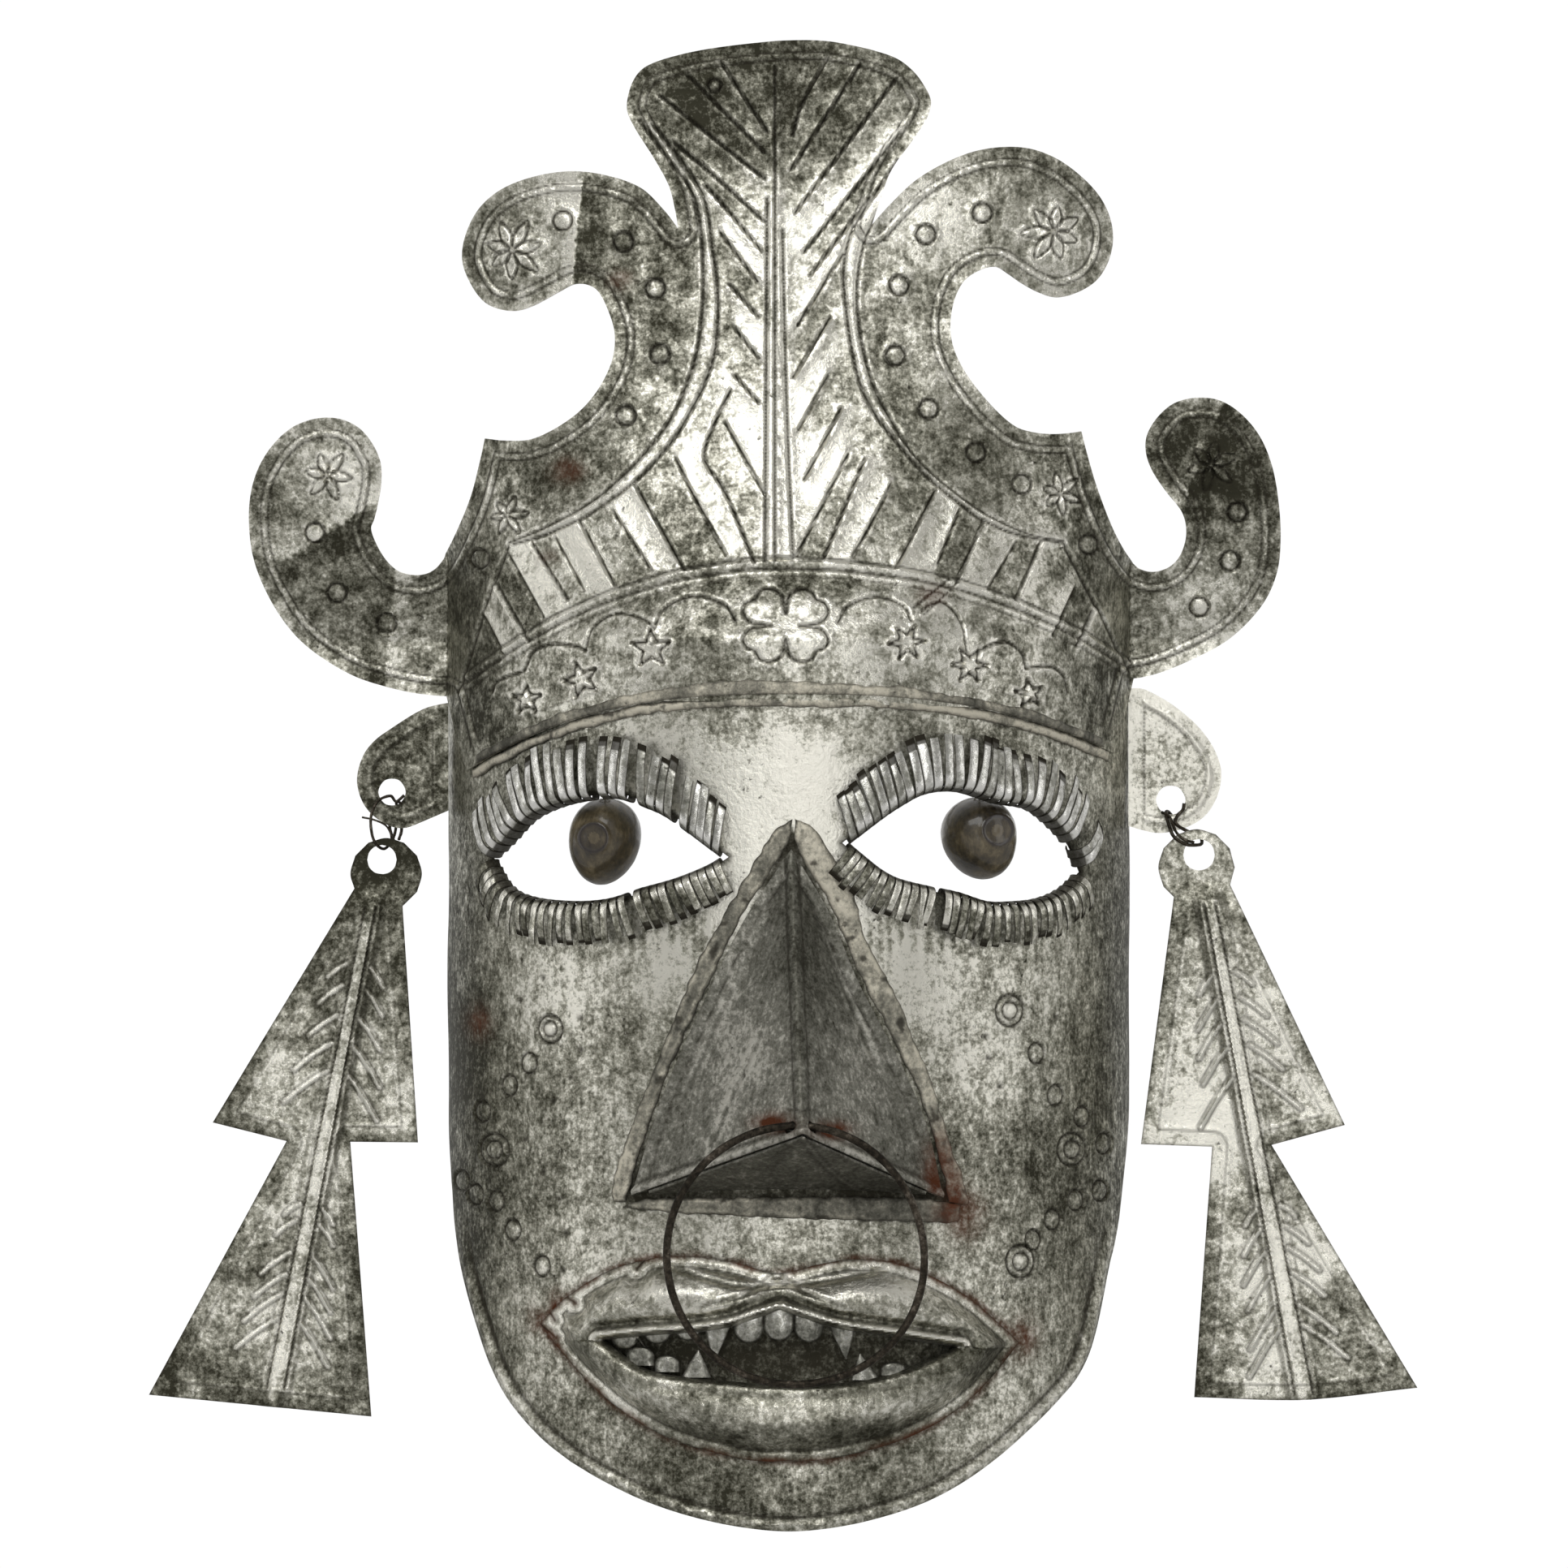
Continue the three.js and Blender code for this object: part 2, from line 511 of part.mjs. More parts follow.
function upperTeeth() {
  const root = (x) => -179.2 - 0.0021 * (x + 3) ** 2;
  return teeth(root, [
    { x: -46.5, half: 4.2, tip: -190.4 },
    { x: -37.2, half: 4.2, tip: -188.6 },
    { x: -28.6, half: 3.8, tip: -187.5 },
    { x: -20, half: 3.4, tip: -192.6, fang: -1 },
    { x: -11.4, half: 4, tip: -187.4 },
    { x: -2.9, half: 4, tip: -186.6 },
    { x: 5.6, half: 4, tip: -187.2 },
    { x: 14.6, half: 3.4, tip: -192.4, fang: 1.4 },
  ], 4);
}

function lowerTeeth() {
  const root = (x) => -198.8 + 0.0030 * x ** 2;
  return teeth(root, [
    { x: -42, half: 4, tip: -188.6 },
    { x: -34.4, half: 3.4, tip: -191.2 },
    { x: -26.2, half: 2.6, tip: -189.8, fang: 0.6 },
    { x: 21.6, half: 2.6, tip: -190.8, fang: -1.6 },
    { x: 29.4, half: 3.6, tip: -193.2 },
  ], -4);
}

// ---------- eyelashes ----------
// The curl of one strip beside the lid's edge: [distance from the edge, height over the shell].
function lashCurl(length, lift) {
  const root = [0.4, LASH_TIN / 2 - LASH_ROOT];
  const tip = [length, lift * 0.45];
  return [root, [-1.05, -0.7], [-0.9, lift * 0.6], [1.6, lift], [length * 0.6, lift * 0.9], tip];
}

function ribbon(centres, across, thickness) {
  const front = [];
  const back = [];
  centres.forEach((centre, n) => {
    const before = centres[Math.max(0, n - 1)];
    const after = centres[Math.min(centres.length - 1, n + 1)];
    const normal = after.clone().sub(before).cross(across).normalize().multiplyScalar(thickness / 2);
    const ends = [across.clone().negate(), across];
    front.push(ends.map((end) => centre.clone().add(end).add(normal)));
    back.push(ends.map((end) => centre.clone().add(end).sub(normal)));
  });
  const solid = slab(front, back);
  return solid.volume() > 0 ? solid : slab(back, front);
}

// A fringe of tin strips along one lid, which point to the left of the lid's run.
function lashFringe(lid, lengthAt, lift) {
  const curve = new THREE.SplineCurve(lid.map(([x, z]) => new THREE.Vector2(x, z)));
  const frameAt = (u) => {
    const point = curve.getPointAt(u);
    const run = curve.getTangentAt(u);
    const outward = new THREE.Vector2(-run.y, run.x);
    const normal = shellNormal(point.x);
    const level = new THREE.Vector3(-normal.y, normal.x, 0);
    const tangent = level.clone().multiplyScalar(run.x).add(new THREE.Vector3(0, 0, run.y)).normalize();
    const e = level.clone().multiplyScalar(outward.x).add(new THREE.Vector3(0, 0, outward.y)).normalize();
    const root = new THREE.Vector3(point.x, shellY(point.x), point.y);
    return { root, tangent, e, normal };
  };
  const place = (frame, [s, h]) => frame.root.clone()
    .addScaledVector(frame.e, s).addScaledVector(frame.normal, h);
  const from = 0.03;
  const pitch = (1 - 2 * from) / LASH_COUNT;
  const stations = steps(from, 1 - from, LASH_COUNT).map(frameAt);
  const strip = (height) => stations.map((frame) =>
    [-0.4, LASH_ROOT_WIDTH].map((s) => place(frame, [s, height])));
  let made = slab(strip(LASH_TIN - LASH_ROOT), strip(-LASH_ROOT));
  if (made.volume() < 0) made = slab(strip(-LASH_ROOT), strip(LASH_TIN - LASH_ROOT));
  const width = (curve.getLength() * pitch) / 2 - GAP;
  for (let n = 0; n < LASH_COUNT; n++) {
    const frame = frameAt(from + pitch * (n + 0.5));
    const sway = 0.14 * Math.sin(n * 2.7) + 0.05 * Math.sin(n * 7.1);
    const length = lengthAt((n + 0.5) / LASH_COUNT) * (1 + 0.08 * Math.sin(n * 4.3));
    const centres = lashCurl(length, lift).map(([s, h]) =>
      place(frame, [s, h]).addScaledVector(frame.tangent, Math.max(0, s - 2) * sway));
    made = made.add(ribbon(centres, frame.tangent.clone().multiplyScalar(width), LASH_TIN));
  }
  return made;
}

// ---------- hanging pieces ----------
function hangerStrap() {
  const half = STRAP_LENGTH / 2;
  const columns = [-half, -half / 2, -10, 10, half / 2, half];
  const side = (y) => columns.map((x) =>
    [-STRAP_WIDTH / 2, STRAP_WIDTH / 2].map((z) => new THREE.Vector3(x, y, z)));
  return slab(side(-TIN), side(0)).subtract(prism(circle(0, NAIL_HOLE_Z, NAIL_HOLE), 6));
}

// A tin tab behind the upper lid, with a hole for the eye's wire loop.
function eyeTab(x) {
  const wall = shellY(x, -TIN) + 0.9;
  const shape = new THREE.Shape();
  shape.moveTo(wall, EYE_TAB_TOP);
  shape.lineTo(wall, EYE_TAB_BOTTOM);
  shape.lineTo(EYE_Y - 2.6, EYE_TAB_HOLE_Z - 2.2);
  shape.absarc(EYE_Y, EYE_TAB_HOLE_Z, EYE_TAB_ROUND, -2.4, 1.6, false);
  shape.lineTo(wall, EYE_TAB_TOP);
  shape.holes.push(circle(EYE_Y, EYE_TAB_HOLE_Z, EYE_TAB_HOLE));
  const geometry = new THREE.ExtrudeGeometry(shape, { depth: TIN, bevelEnabled: false, curveSegments: 8 });
  geometry.rotateX(Math.PI / 2);
  geometry.rotateZ(Math.PI / 2);
  geometry.translate(x - TIN / 2, 0, 0);
  return solidOf(geometry);
}

function eyeWire(seed) {
  const loopZ = EYE_TAB_HOLE_Z - 0.5 - EYE_LOOP;
  const loop = wireLoop((t) => new THREE.Vector3(
    seed.x + EYE_LOOP * Math.sin(t), EYE_Y, loopZ + EYE_LOOP * Math.cos(t)), EYE_WIRE, 16, 6);
  const stem = rod(EYE_WIRE, EYE_STEM, "z").translate(seed.x, EYE_Y, loopZ - EYE_LOOP - EYE_STEM / 2);
  return loop.add(solidOf(stem));
}

function eyeSeed(seed) {
  const geometry = new THREE.SphereGeometry(1, 16, 10);
  geometry.rotateX(Math.PI / 2);
  geometry.scale(seed.width / 2, seed.width / 2, seed.height / 2);
  const place = geometry.getAttribute("position");
  for (let n = 0; n < place.count; n++) {
    const taper = 1 + (SEED_TAPER * place.getZ(n)) / (seed.height / 2);
    place.setXY(n, place.getX(n) * taper, place.getY(n) * taper);
  }
  geometry.rotateY(seed.tilt);
  geometry.translate(seed.x, EYE_Y, seed.z);
  const boreLength = 20;
  const bore = rod(EYE_WIRE + GAP, boreLength, "z")
    .translate(seed.x, EYE_Y, SEED_BORE_BOTTOM + boreLength / 2);
  return solidOf(geometry).subtract(solidOf(bore));
}

function noseRing() {
  return wireLoop((t) => new THREE.Vector3(
    RING_TOP.x + RING_RADIUS * Math.sin(t),
    RING_TOP.y,
    RING_TOP.z - RING_RADIUS + RING_RADIUS * Math.cos(t)), RING_WIRE, 44, 8);
}

function earLink(top, bottom, sideways) {
  const centre = top.clone().add(bottom).multiplyScalar(0.5);
  const half = top.clone().sub(bottom).multiplyScalar(0.5);
  return wireLoop((t) => centre.clone()
    .addScaledVector(half, Math.cos(t))
    .addScaledVector(sideways, Math.sin(t)), LINK_WIRE, 20, 8);
}

// A two-tier earring, creased and ribbed down its middle line.
function earring(item) {
  const { tab, hole, upper, neck, lower, rib } = item;
  const shape = polygon([upper[0], upper[1], neck[0], ...lower, neck[1], upper[2], upper[3]]);
  const offsets = [-50, -22, -5, -1.6, 1.6, 5, 22, 50]; // across, from the middle rib
  const swell = [0, 0.9, 1.2, RIB_HEIGHT, RIB_HEIGHT, 1.2, 0.9, 0];
  const rows = [-218, -170, -133, -100, tab.z - 12, tab.z, -30];
  const blank = sheet(offsets.length, rows.length, THIN_TIN, (i, j) => {
    const z = rows[j];
    const middle = THREE.MathUtils.mapLinear(z, rib[0][1], rib[1][1], rib[0][0], rib[1][0]);
    const fade = z < tab.z ? 1 : 0; // the tab at the top is flat
    return new THREE.Vector3(middle + offsets[i], EARRING_Y - swell[i] * fade, z);
  });
  const body = prism(shape).add(prism(circle(tab.x, tab.z, tab.r), 6));
  return blank.intersect(body).subtract(prism(circle(hole.x, hole.z, hole.r), 6));
}

const EARRING_LEFT = {
  tab: { x: -115, z: -55.8, r: 10.2 },
  hole: { x: -116.2, z: -51.8, r: 4.2 },
  upper: [[-123.8, -59.6], [-164.5, -126.8], [-105.9, -132.5], [-110.5, -61.7]],
  neck: [[-143.4, -132.1], [-125.2, -132.3]],
  lower: [[-182.7, -204.5], [-144.3, -208.2], [-119.2, -210.7]],
  rib: [[-118.8, -62.4], [-146.7, -203.4]],
};
const EARRING_RIGHT = {
  tab: { x: 116.3, z: -54, r: 10.9 },
  hole: { x: 117, z: -50.4, r: 4.5 },
  upper: [[109.9, -61.5], [100.4, -133], [158.6, -127.5], [125.5, -58.2]],
  neck: [[120.7, -133.7], [137.7, -133.2]],
  lower: [[115.6, -205.2], [147.1, -205.9], [179.3, -202.5]],
  rib: [[119.4, -61.5], [147.1, -205.2]],
};
const EAR_HOLE_LEFT = { x: -113.4, z: -32.5, r: 3.9 };
const EAR_HOLE_RIGHT = { x: 109, z: -34.8, r: 4.2 };

// The wire lies in the hole just above its lower rim, and just below the earring hole's upper rim.
function linkTop(hole) {
  return new THREE.Vector3(hole.x, EAR_Y + TIN / 2, hole.z - hole.r + 1.1);
}

function linkBottom(hole) {
  return new THREE.Vector3(hole.x, EARRING_Y + THIN_TIN / 2, hole.z + hole.r - 1.1);
}

// ---------- materials ----------
const tin = { color: 0x8c8b84, roughness: 0.38, metalness: 1 };
const brightTin = { color: 0xb4b4ae, roughness: 0.25, metalness: 1 };
const solder = { color: 0x8f8780, roughness: 0.6, metalness: 0.8 };
const darkWire = { color: 0x3a2f28, roughness: 0.55, metalness: 0.8 };
const seedShell = { color: 0x3b3428, roughness: 0.25, metalness: 0 };

// ---------- the assembly ----------
function piece(name, solid, look) {
  const mesh = new THREE.Mesh(geometryOf(solid), new THREE.MeshStandardMaterial(look));
  mesh.name = name;
  return mesh;
}

function group(...pieces) {
  const made = new THREE.Group();
  made.add(...pieces);
  return made;
}

const upperLength = (u) => 11 + 4 * Math.sin(Math.PI * u);
const lowerLength = (u) => 8.5 + 2 * Math.sin(Math.PI * u);

const face = group(
  piece("face_shell", faceShell(), tin),
  piece("chin_rim", chinRim(), tin),
  piece("hanger_strap", hangerStrap(), tin),
  piece("ear_left", ear(-1, EAR_LEFT, EAR_HOLE_LEFT), tin),
  piece("ear_right", ear(1, EAR_RIGHT, EAR_HOLE_RIGHT), tin),
);
const crown = group(
  piece("crown_sheet", crownSheet(), tin),
  piece("forehead_seam", foreheadSeam(), solder),
);
const nose = group(
  piece("nose_bridge", noseBridge(), tin),
  piece("nose_base", noseBase(), tin),
  piece("nose_seam_left", noseSeamLeft(), solder),
  piece("nose_seam_right", noseSeamRight(), solder),
  piece("nose_seam_bottom", noseSeamBottom(), solder),
  piece("nose_ring", noseRing(), darkWire),
);
const mouth = group(
  piece("mouth_plate", mouthPlate(), tin),
  piece("teeth_upper", upperTeeth(), brightTin),
  piece("teeth_lower", lowerTeeth(), brightTin),
);
const eyes = group(
  piece("lashes_upper_left", lashFringe(LID_UPPER_LEFT, upperLength, LASH_LIFT_UPPER), brightTin),
  piece("lashes_lower_left", lashFringe(LID_LOWER_LEFT, lowerLength, LASH_LIFT_LOWER), brightTin),
  piece("lashes_upper_right", lashFringe(LID_UPPER_RIGHT, upperLength, LASH_LIFT_UPPER), brightTin),
  piece("lashes_lower_right", lashFringe(LID_LOWER_RIGHT, lowerLength, LASH_LIFT_LOWER), brightTin),
  piece("eye_tab_left", eyeTab(SEED_LEFT.x), tin),
  piece("eye_tab_right", eyeTab(SEED_RIGHT.x), tin),
  piece("eye_wire_left", eyeWire(SEED_LEFT), darkWire),
  piece("eye_wire_right", eyeWire(SEED_RIGHT), darkWire),
  piece("eye_seed_left", eyeSeed(SEED_LEFT), seedShell),
  piece("eye_seed_right", eyeSeed(SEED_RIGHT), seedShell),
);
const earrings = group(
  piece("ear_link_left", earLink(linkTop(EAR_HOLE_LEFT), linkBottom(EARRING_LEFT.hole),
    new THREE.Vector3(2.4, 4.2, 0)), darkWire),
  piece("ear_link_right", earLink(linkTop(EAR_HOLE_RIGHT), linkBottom(EARRING_RIGHT.hole),
    new THREE.Vector3(1.2, 4.9, 0)), darkWire),
  piece("earring_left", earring(EARRING_LEFT), tin),
  piece("earring_right", earring(EARRING_RIGHT), tin),
);

const mask = new THREE.Group();
mask.name = "tin_mask";
mask.add(face, crown, nose, mouth, eyes, earrings);

export default mask;
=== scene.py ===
"""Finished look of a tin wall mask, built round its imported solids.

Plain numbers are millimetres as seen from the front: x to the viewer's right, z up.
The face looks along -Y and the wall is the plane y = 0.
"""

import math

import bpy
import numpy as np
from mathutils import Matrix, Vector, geometry, kdtree, noise


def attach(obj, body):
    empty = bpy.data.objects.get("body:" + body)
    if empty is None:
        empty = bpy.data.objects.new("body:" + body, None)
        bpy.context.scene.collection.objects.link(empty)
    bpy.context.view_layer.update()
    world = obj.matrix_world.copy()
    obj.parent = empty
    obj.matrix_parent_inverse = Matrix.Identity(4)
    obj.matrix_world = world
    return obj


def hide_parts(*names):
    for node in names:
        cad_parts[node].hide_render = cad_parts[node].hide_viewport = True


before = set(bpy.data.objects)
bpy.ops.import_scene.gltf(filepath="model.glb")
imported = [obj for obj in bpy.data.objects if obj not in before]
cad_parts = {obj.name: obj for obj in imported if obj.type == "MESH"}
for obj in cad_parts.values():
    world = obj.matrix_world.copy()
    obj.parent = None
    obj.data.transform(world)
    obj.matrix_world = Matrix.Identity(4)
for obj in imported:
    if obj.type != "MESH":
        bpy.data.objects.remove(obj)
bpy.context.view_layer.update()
MM = 0.001

# ---------------------------------------------------------------- surfaces
HALF_WIDTH = 97.5
DEPTH = 90.0
FOLD = 97.4
CROWN_RADIUS = 98.8
CROWN_FOOT = 11
CROWN_FRONT = 91.3


def bell(distance, width):
    """1 where the distance is 0, fading smoothly to nothing at about twice the width."""
    return np.exp(-((distance / width) ** 2))


def shell_y(x, out=0.0):
    """The half-round face, or a surface that stands out from it."""
    share = np.clip(np.abs(x) / (HALF_WIDTH + out), 0, 1)
    return -(DEPTH + out) * np.sqrt(1 - share**2)


def crown_y(x, z):
    """The crown, which is round at its foot and leans back and flattens as it rises."""
    rise = np.maximum(0, z - CROWN_FOOT)
    front = CROWN_FRONT - 50 * (1 - np.exp(-rise / 85))
    curl = CROWN_FRONT * np.exp(-rise / 86)
    share = np.minimum(np.abs(x), FOLD) / CROWN_RADIUS
    return -front + curl * (1 - np.sqrt(1 - share**2))


def band_edge(x):
    """The z of the headband's lower edge."""
    drop = np.where(x < 0, 21.8, 16.2)
    return -5 - drop * (np.abs(x) / 92) ** 2.7


def plane_y(a, b, c):
    """The y of a plane through three points, as a function of x and z."""
    a, b, c = (np.array(p) for p in (a, b, c))
    n = np.cross(b - a, c - a)
    return lambda x, z: a[1] - (n[0] * (x - a[0]) + n[2] * (z - a[2])) / n[1]


NOSE_TOP = (0.6, -91.5, -48.5)
NOSE_TIP = (3.8, -122, -128.4)
NOSE_FOOT_LEFT = (-44.5, -81.7, -146.3)
NOSE_FOOT_RIGHT = (43.4, -82.3, -147)
nose_left = plane_y(NOSE_TOP, NOSE_TIP, NOSE_FOOT_LEFT)
nose_right = plane_y(NOSE_TOP, NOSE_TIP, NOSE_FOOT_RIGHT)


def unroll_round(x, radius, fold):
    """Distance along a round sheet from its middle, which keeps the mesh even near the sides."""
    inner = radius * np.arcsin(np.clip(np.abs(x), 0, fold) / radius)
    return np.sign(x) * (inner + np.maximum(0, np.abs(x) - fold))


def roll_round(u, radius, fold):
    """The x at a distance along a round sheet, the reverse of unroll_round."""
    edge = radius * math.asin(fold / radius)
    inner = radius * np.sin(np.minimum(np.abs(u), edge) / radius)
    return np.sign(u) * (inner + np.maximum(0, np.abs(u) - edge))


def round_sheet(radius, fold):
    return dict(unroll=lambda x: unroll_round(x, radius, fold), roll=lambda u: roll_round(u, radius, fold))


ROUND_FACE = round_sheet(HALF_WIDTH, HALF_WIDTH)
ROUND_CROWN = round_sheet(CROWN_RADIUS, FOLD)


# ---------------------------------------------------------------- outlines
def front_loops(node):
    """Edges of the node's forward-looking faces as closed loops of (x, z), the widest first."""
    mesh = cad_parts[node].data
    place = np.array([v.co for v in mesh.vertices]) / MM
    names = [tuple(p) for p in np.round(place * 50).astype(int)]
    edges = {}
    for face in mesh.polygons:
        if face.normal.y < -0.001:
            corners = list(face.vertices)
            for a, b in zip(corners, corners[1:] + corners[:1]):
                edges[names[a], names[b]] = (a, b)
    follow = {}
    for (a, b), (i, j) in edges.items():
        if (b, a) not in edges and a != b:
            follow.setdefault(a, []).append((b, place[j]))
    loops = []
    while follow:
        start = at = next(iter(follow))
        loop = []
        while at in follow:
            here, (at, point) = at, follow[at].pop()
            if not follow[here]:
                del follow[here]
            loop.append((point[0], point[2]))
            if at == start:
                break
        if at == start and len(loop) > 2:
            loops.append(np.array(loop))
    return sorted(loops, key=lambda l: -np.ptp(l[:, 0]) * np.ptp(l[:, 1]))


def turning(loop):
    """How far the loop turns at each point, in degrees."""
    before = loop - np.roll(loop, 1, 0)
    after = np.roll(loop, -1, 0) - loop
    cross = before[:, 0] * after[:, 1] - before[:, 1] * after[:, 0]
    return np.degrees(np.abs(np.arctan2(cross, (before * after).sum(1))))


def cleaned(loop):
    """The loop without the points that facet its curves."""
    step = np.hypot(*(loop - np.roll(loop, 1, 0)).T)
    loop = loop[step > 0.3]
    for _ in range(3):
        loop = loop[turning(loop) > 1.2]
    return loop


def hermite(points, closed, corner, spacing):
    """Samples a smooth line through the points; it bends sharply where corner is true."""
    count = len(points)
    made = []
    for i in range(count if closed else count - 1):
        a, b = points[i], points[(i + 1) % count]
        before = a if corner[i] else points[i - 1]
        after = b if corner[(i + 1) % count] else points[(i + 2) % count]
        span = np.linalg.norm(b - a)
        first = (b - before) / (span + np.linalg.norm(a - before)) * span
        last = (after - a) / (span + np.linalg.norm(after - b)) * span
        for t in np.arange(0, 1, min(1, spacing / span)):
            made.append(
                a * (2 * t**3 - 3 * t**2 + 1)
                + b * (3 * t**2 - 2 * t**3)
                + first * (t**3 - 2 * t**2 + t)
                + last * (t**3 - t**2)
            )
    if not closed:
        made.append(points[-1])
    return np.array(made)


def smooth_loop(loop, spacing=0.7, corner_angle=42):
    loop = cleaned(loop)
    return hermite(loop, True, turning(loop) > corner_angle, spacing)


def smooth_line(points, spacing=1.0):
    points = np.array(points, float)
    corner = np.zeros(len(points), bool)
    corner[[0, -1]] = True
    return hermite(points, False, corner, spacing) if len(points) > 2 else points


def inside(points, ring):
    """True for the points within the closed ring."""
    hit = np.zeros(len(points), bool)
    x, z = points[:, 0], points[:, 1]
    for (ax, az), (bx, bz) in zip(ring, np.roll(ring, -1, 0)):
        if az != bz:
            crosses = (az > z) != (bz > z)
            hit ^= crosses & (x < (bx - ax) * (z - az) / (bz - az) + ax)
    return hit


def distance_to(loops, x, z):
    """Distance of each point from the nearest of the loops, each sampled finely."""
    samples = np.vstack(loops)
    tree = kdtree.KDTree(len(samples))
    for i, (a, b) in enumerate(samples):
        tree.insert((a, b, 0), i)
    tree.balance()
    return np.array([tree.find((a, b, 0))[2] for a, b in zip(x, z)])


# ---------------------------------------------------------------- sheets
def fill(rings, spacing, seed):
    """Even points inside the first ring and outside the others, row by row."""
    jitter = np.random.default_rng(seed)
    low, high = rings[0].min(0), rings[0].max(0)
    starts = np.vstack(rings)
    ends = np.vstack([np.roll(r, -1, 0) for r in rings])
    points = []
    for row, v in enumerate(np.arange(low[1] + spacing / 2, high[1], spacing * 0.866)):
        hit = (starts[:, 1] > v) != (ends[:, 1] > v)
        a, b = starts[hit], ends[hit]
        cuts = np.sort(a[:, 0] + (v - a[:, 1]) * (b[:, 0] - a[:, 0]) / (b[:, 1] - a[:, 1]))
        offset = spacing / 2 if row % 2 else 0
        for left, right in zip(cuts[::2], cuts[1::2]):
            first = math.ceil((left + spacing * 0.3 - offset) / spacing)
            last = math.floor((right - spacing * 0.3 - offset) / spacing)
            us = np.arange(first, last + 1) * spacing + offset
            points.append(np.column_stack([us, np.full(len(us), v)]))
    points = np.vstack(points)
    return points + jitter.uniform(-0.08, 0.08, points.shape) * spacing


def triangulate(rings, spacing, seed, fine=None, busy=None):
    """Triangles between the rings, with points closer together where busy(points) is true."""
    points = fill(rings, spacing, seed)
    if fine:
        close = fill(rings, fine, seed)
        points = np.vstack([points[~busy(points)], close[busy(close)]])
    far = distance_to(rings, points[:, 0], points[:, 1]) > 0.55 * (fine or min(spacing, 0.8))
    parts = [points[far]]
    edges = []
    first = len(parts[0])
    for ring in rings:
        ids = np.arange(first, first + len(ring))
        edges += list(zip(ids.tolist(), np.roll(ids, -1).tolist()))
        parts.append(ring)
        first += len(ring)
    vectors = [Vector(p) for p in np.vstack(parts)]
    placed, _, faces, *_ = geometry.delaunay_2d_cdt(vectors, edges, [], 2, 1e-5)
    flat = np.array([(p.x, p.y) for p in placed])
    faces = np.array([list(f) for f in faces])
    middles = flat[faces].mean(1)
    kept = inside(middles, rings[0])
    for hole in rings[1:]:
        kept &= ~inside(middles, hole)
    return flat, faces[kept]


def vertex_normals(points, faces):
    a, b, c = (points[faces[:, k]] for k in range(3))
    face_normal = np.cross(b - a, c - a)
    normals = np.zeros_like(points)
    for k in range(3):
        np.add.at(normals, faces[:, k], face_normal)
    return normals / np.maximum(np.linalg.norm(normals, axis=1), 1e-9)[:, None]


def rim_edges(faces):
    """Edges that only one face uses."""
    pairs = np.vstack([faces[:, [0, 1]], faces[:, [1, 2]], faces[:, [2, 0]]])
    seen = {tuple(p) for p in pairs}
    return np.array([p for p in seen if (p[1], p[0]) not in seen])


def thickened(points, back, faces, triangles):
    """Points and faces of a closed sheet, from its front points, its back points and its front faces."""
    rim = rim_edges(triangles)
    total = len(points)
    walls = np.column_stack([rim[:, 1], rim[:, 0], rim[:, 0] + total, rim[:, 1] + total])
    all_faces = [*faces.tolist(), *(faces[:, ::-1] + total).tolist(), *walls.tolist()]
    return np.vstack([points, back]), all_faces


def split_quads(quads):
    return np.vstack([quads[:, [0, 1, 2]], quads[:, [0, 2, 3]]])


def make_object(name, points, faces, values=None, sharp=38):
    """A mesh object from millimetre points; values are per-point attributes."""
    mesh = bpy.data.meshes.new(name)
    mesh.from_pydata((np.asarray(points) * MM).tolist(), [], [list(map(int, f)) for f in faces])
    mesh.validate()
    mesh.shade_smooth()
    mesh.set_sharp_from_angle(angle=math.radians(sharp))
    for key, data in (values or {}).items():
        mesh.attributes.new(key, "FLOAT", "POINT").data.foreach_set("value", np.asarray(data, np.float32))
    made = bpy.data.objects.new(name, mesh)
    bpy.context.scene.collection.objects.link(made)
    return made


def face_outwards(piece):
    bpy.context.view_layer.objects.active = piece
    bpy.ops.object.mode_set(mode="EDIT")
    bpy.ops.mesh.select_all(action="SELECT")
    bpy.ops.mesh.normals_make_consistent(inside=False)
    bpy.ops.object.mode_set(mode="OBJECT")


def joined(pieces):
    """The first piece, with the others joined into it."""
    bpy.ops.object.select_all(action="DESELECT")
    for piece in pieces:
        piece.select_set(True)
    bpy.context.view_layer.objects.active = pieces[0]
    bpy.ops.object.join()
    return pieces[0]


def soft_limit(values, most):
    """The values, bent so that none is larger than most."""
    return most * np.tanh(values / most)


def unchanged(x):
    return x


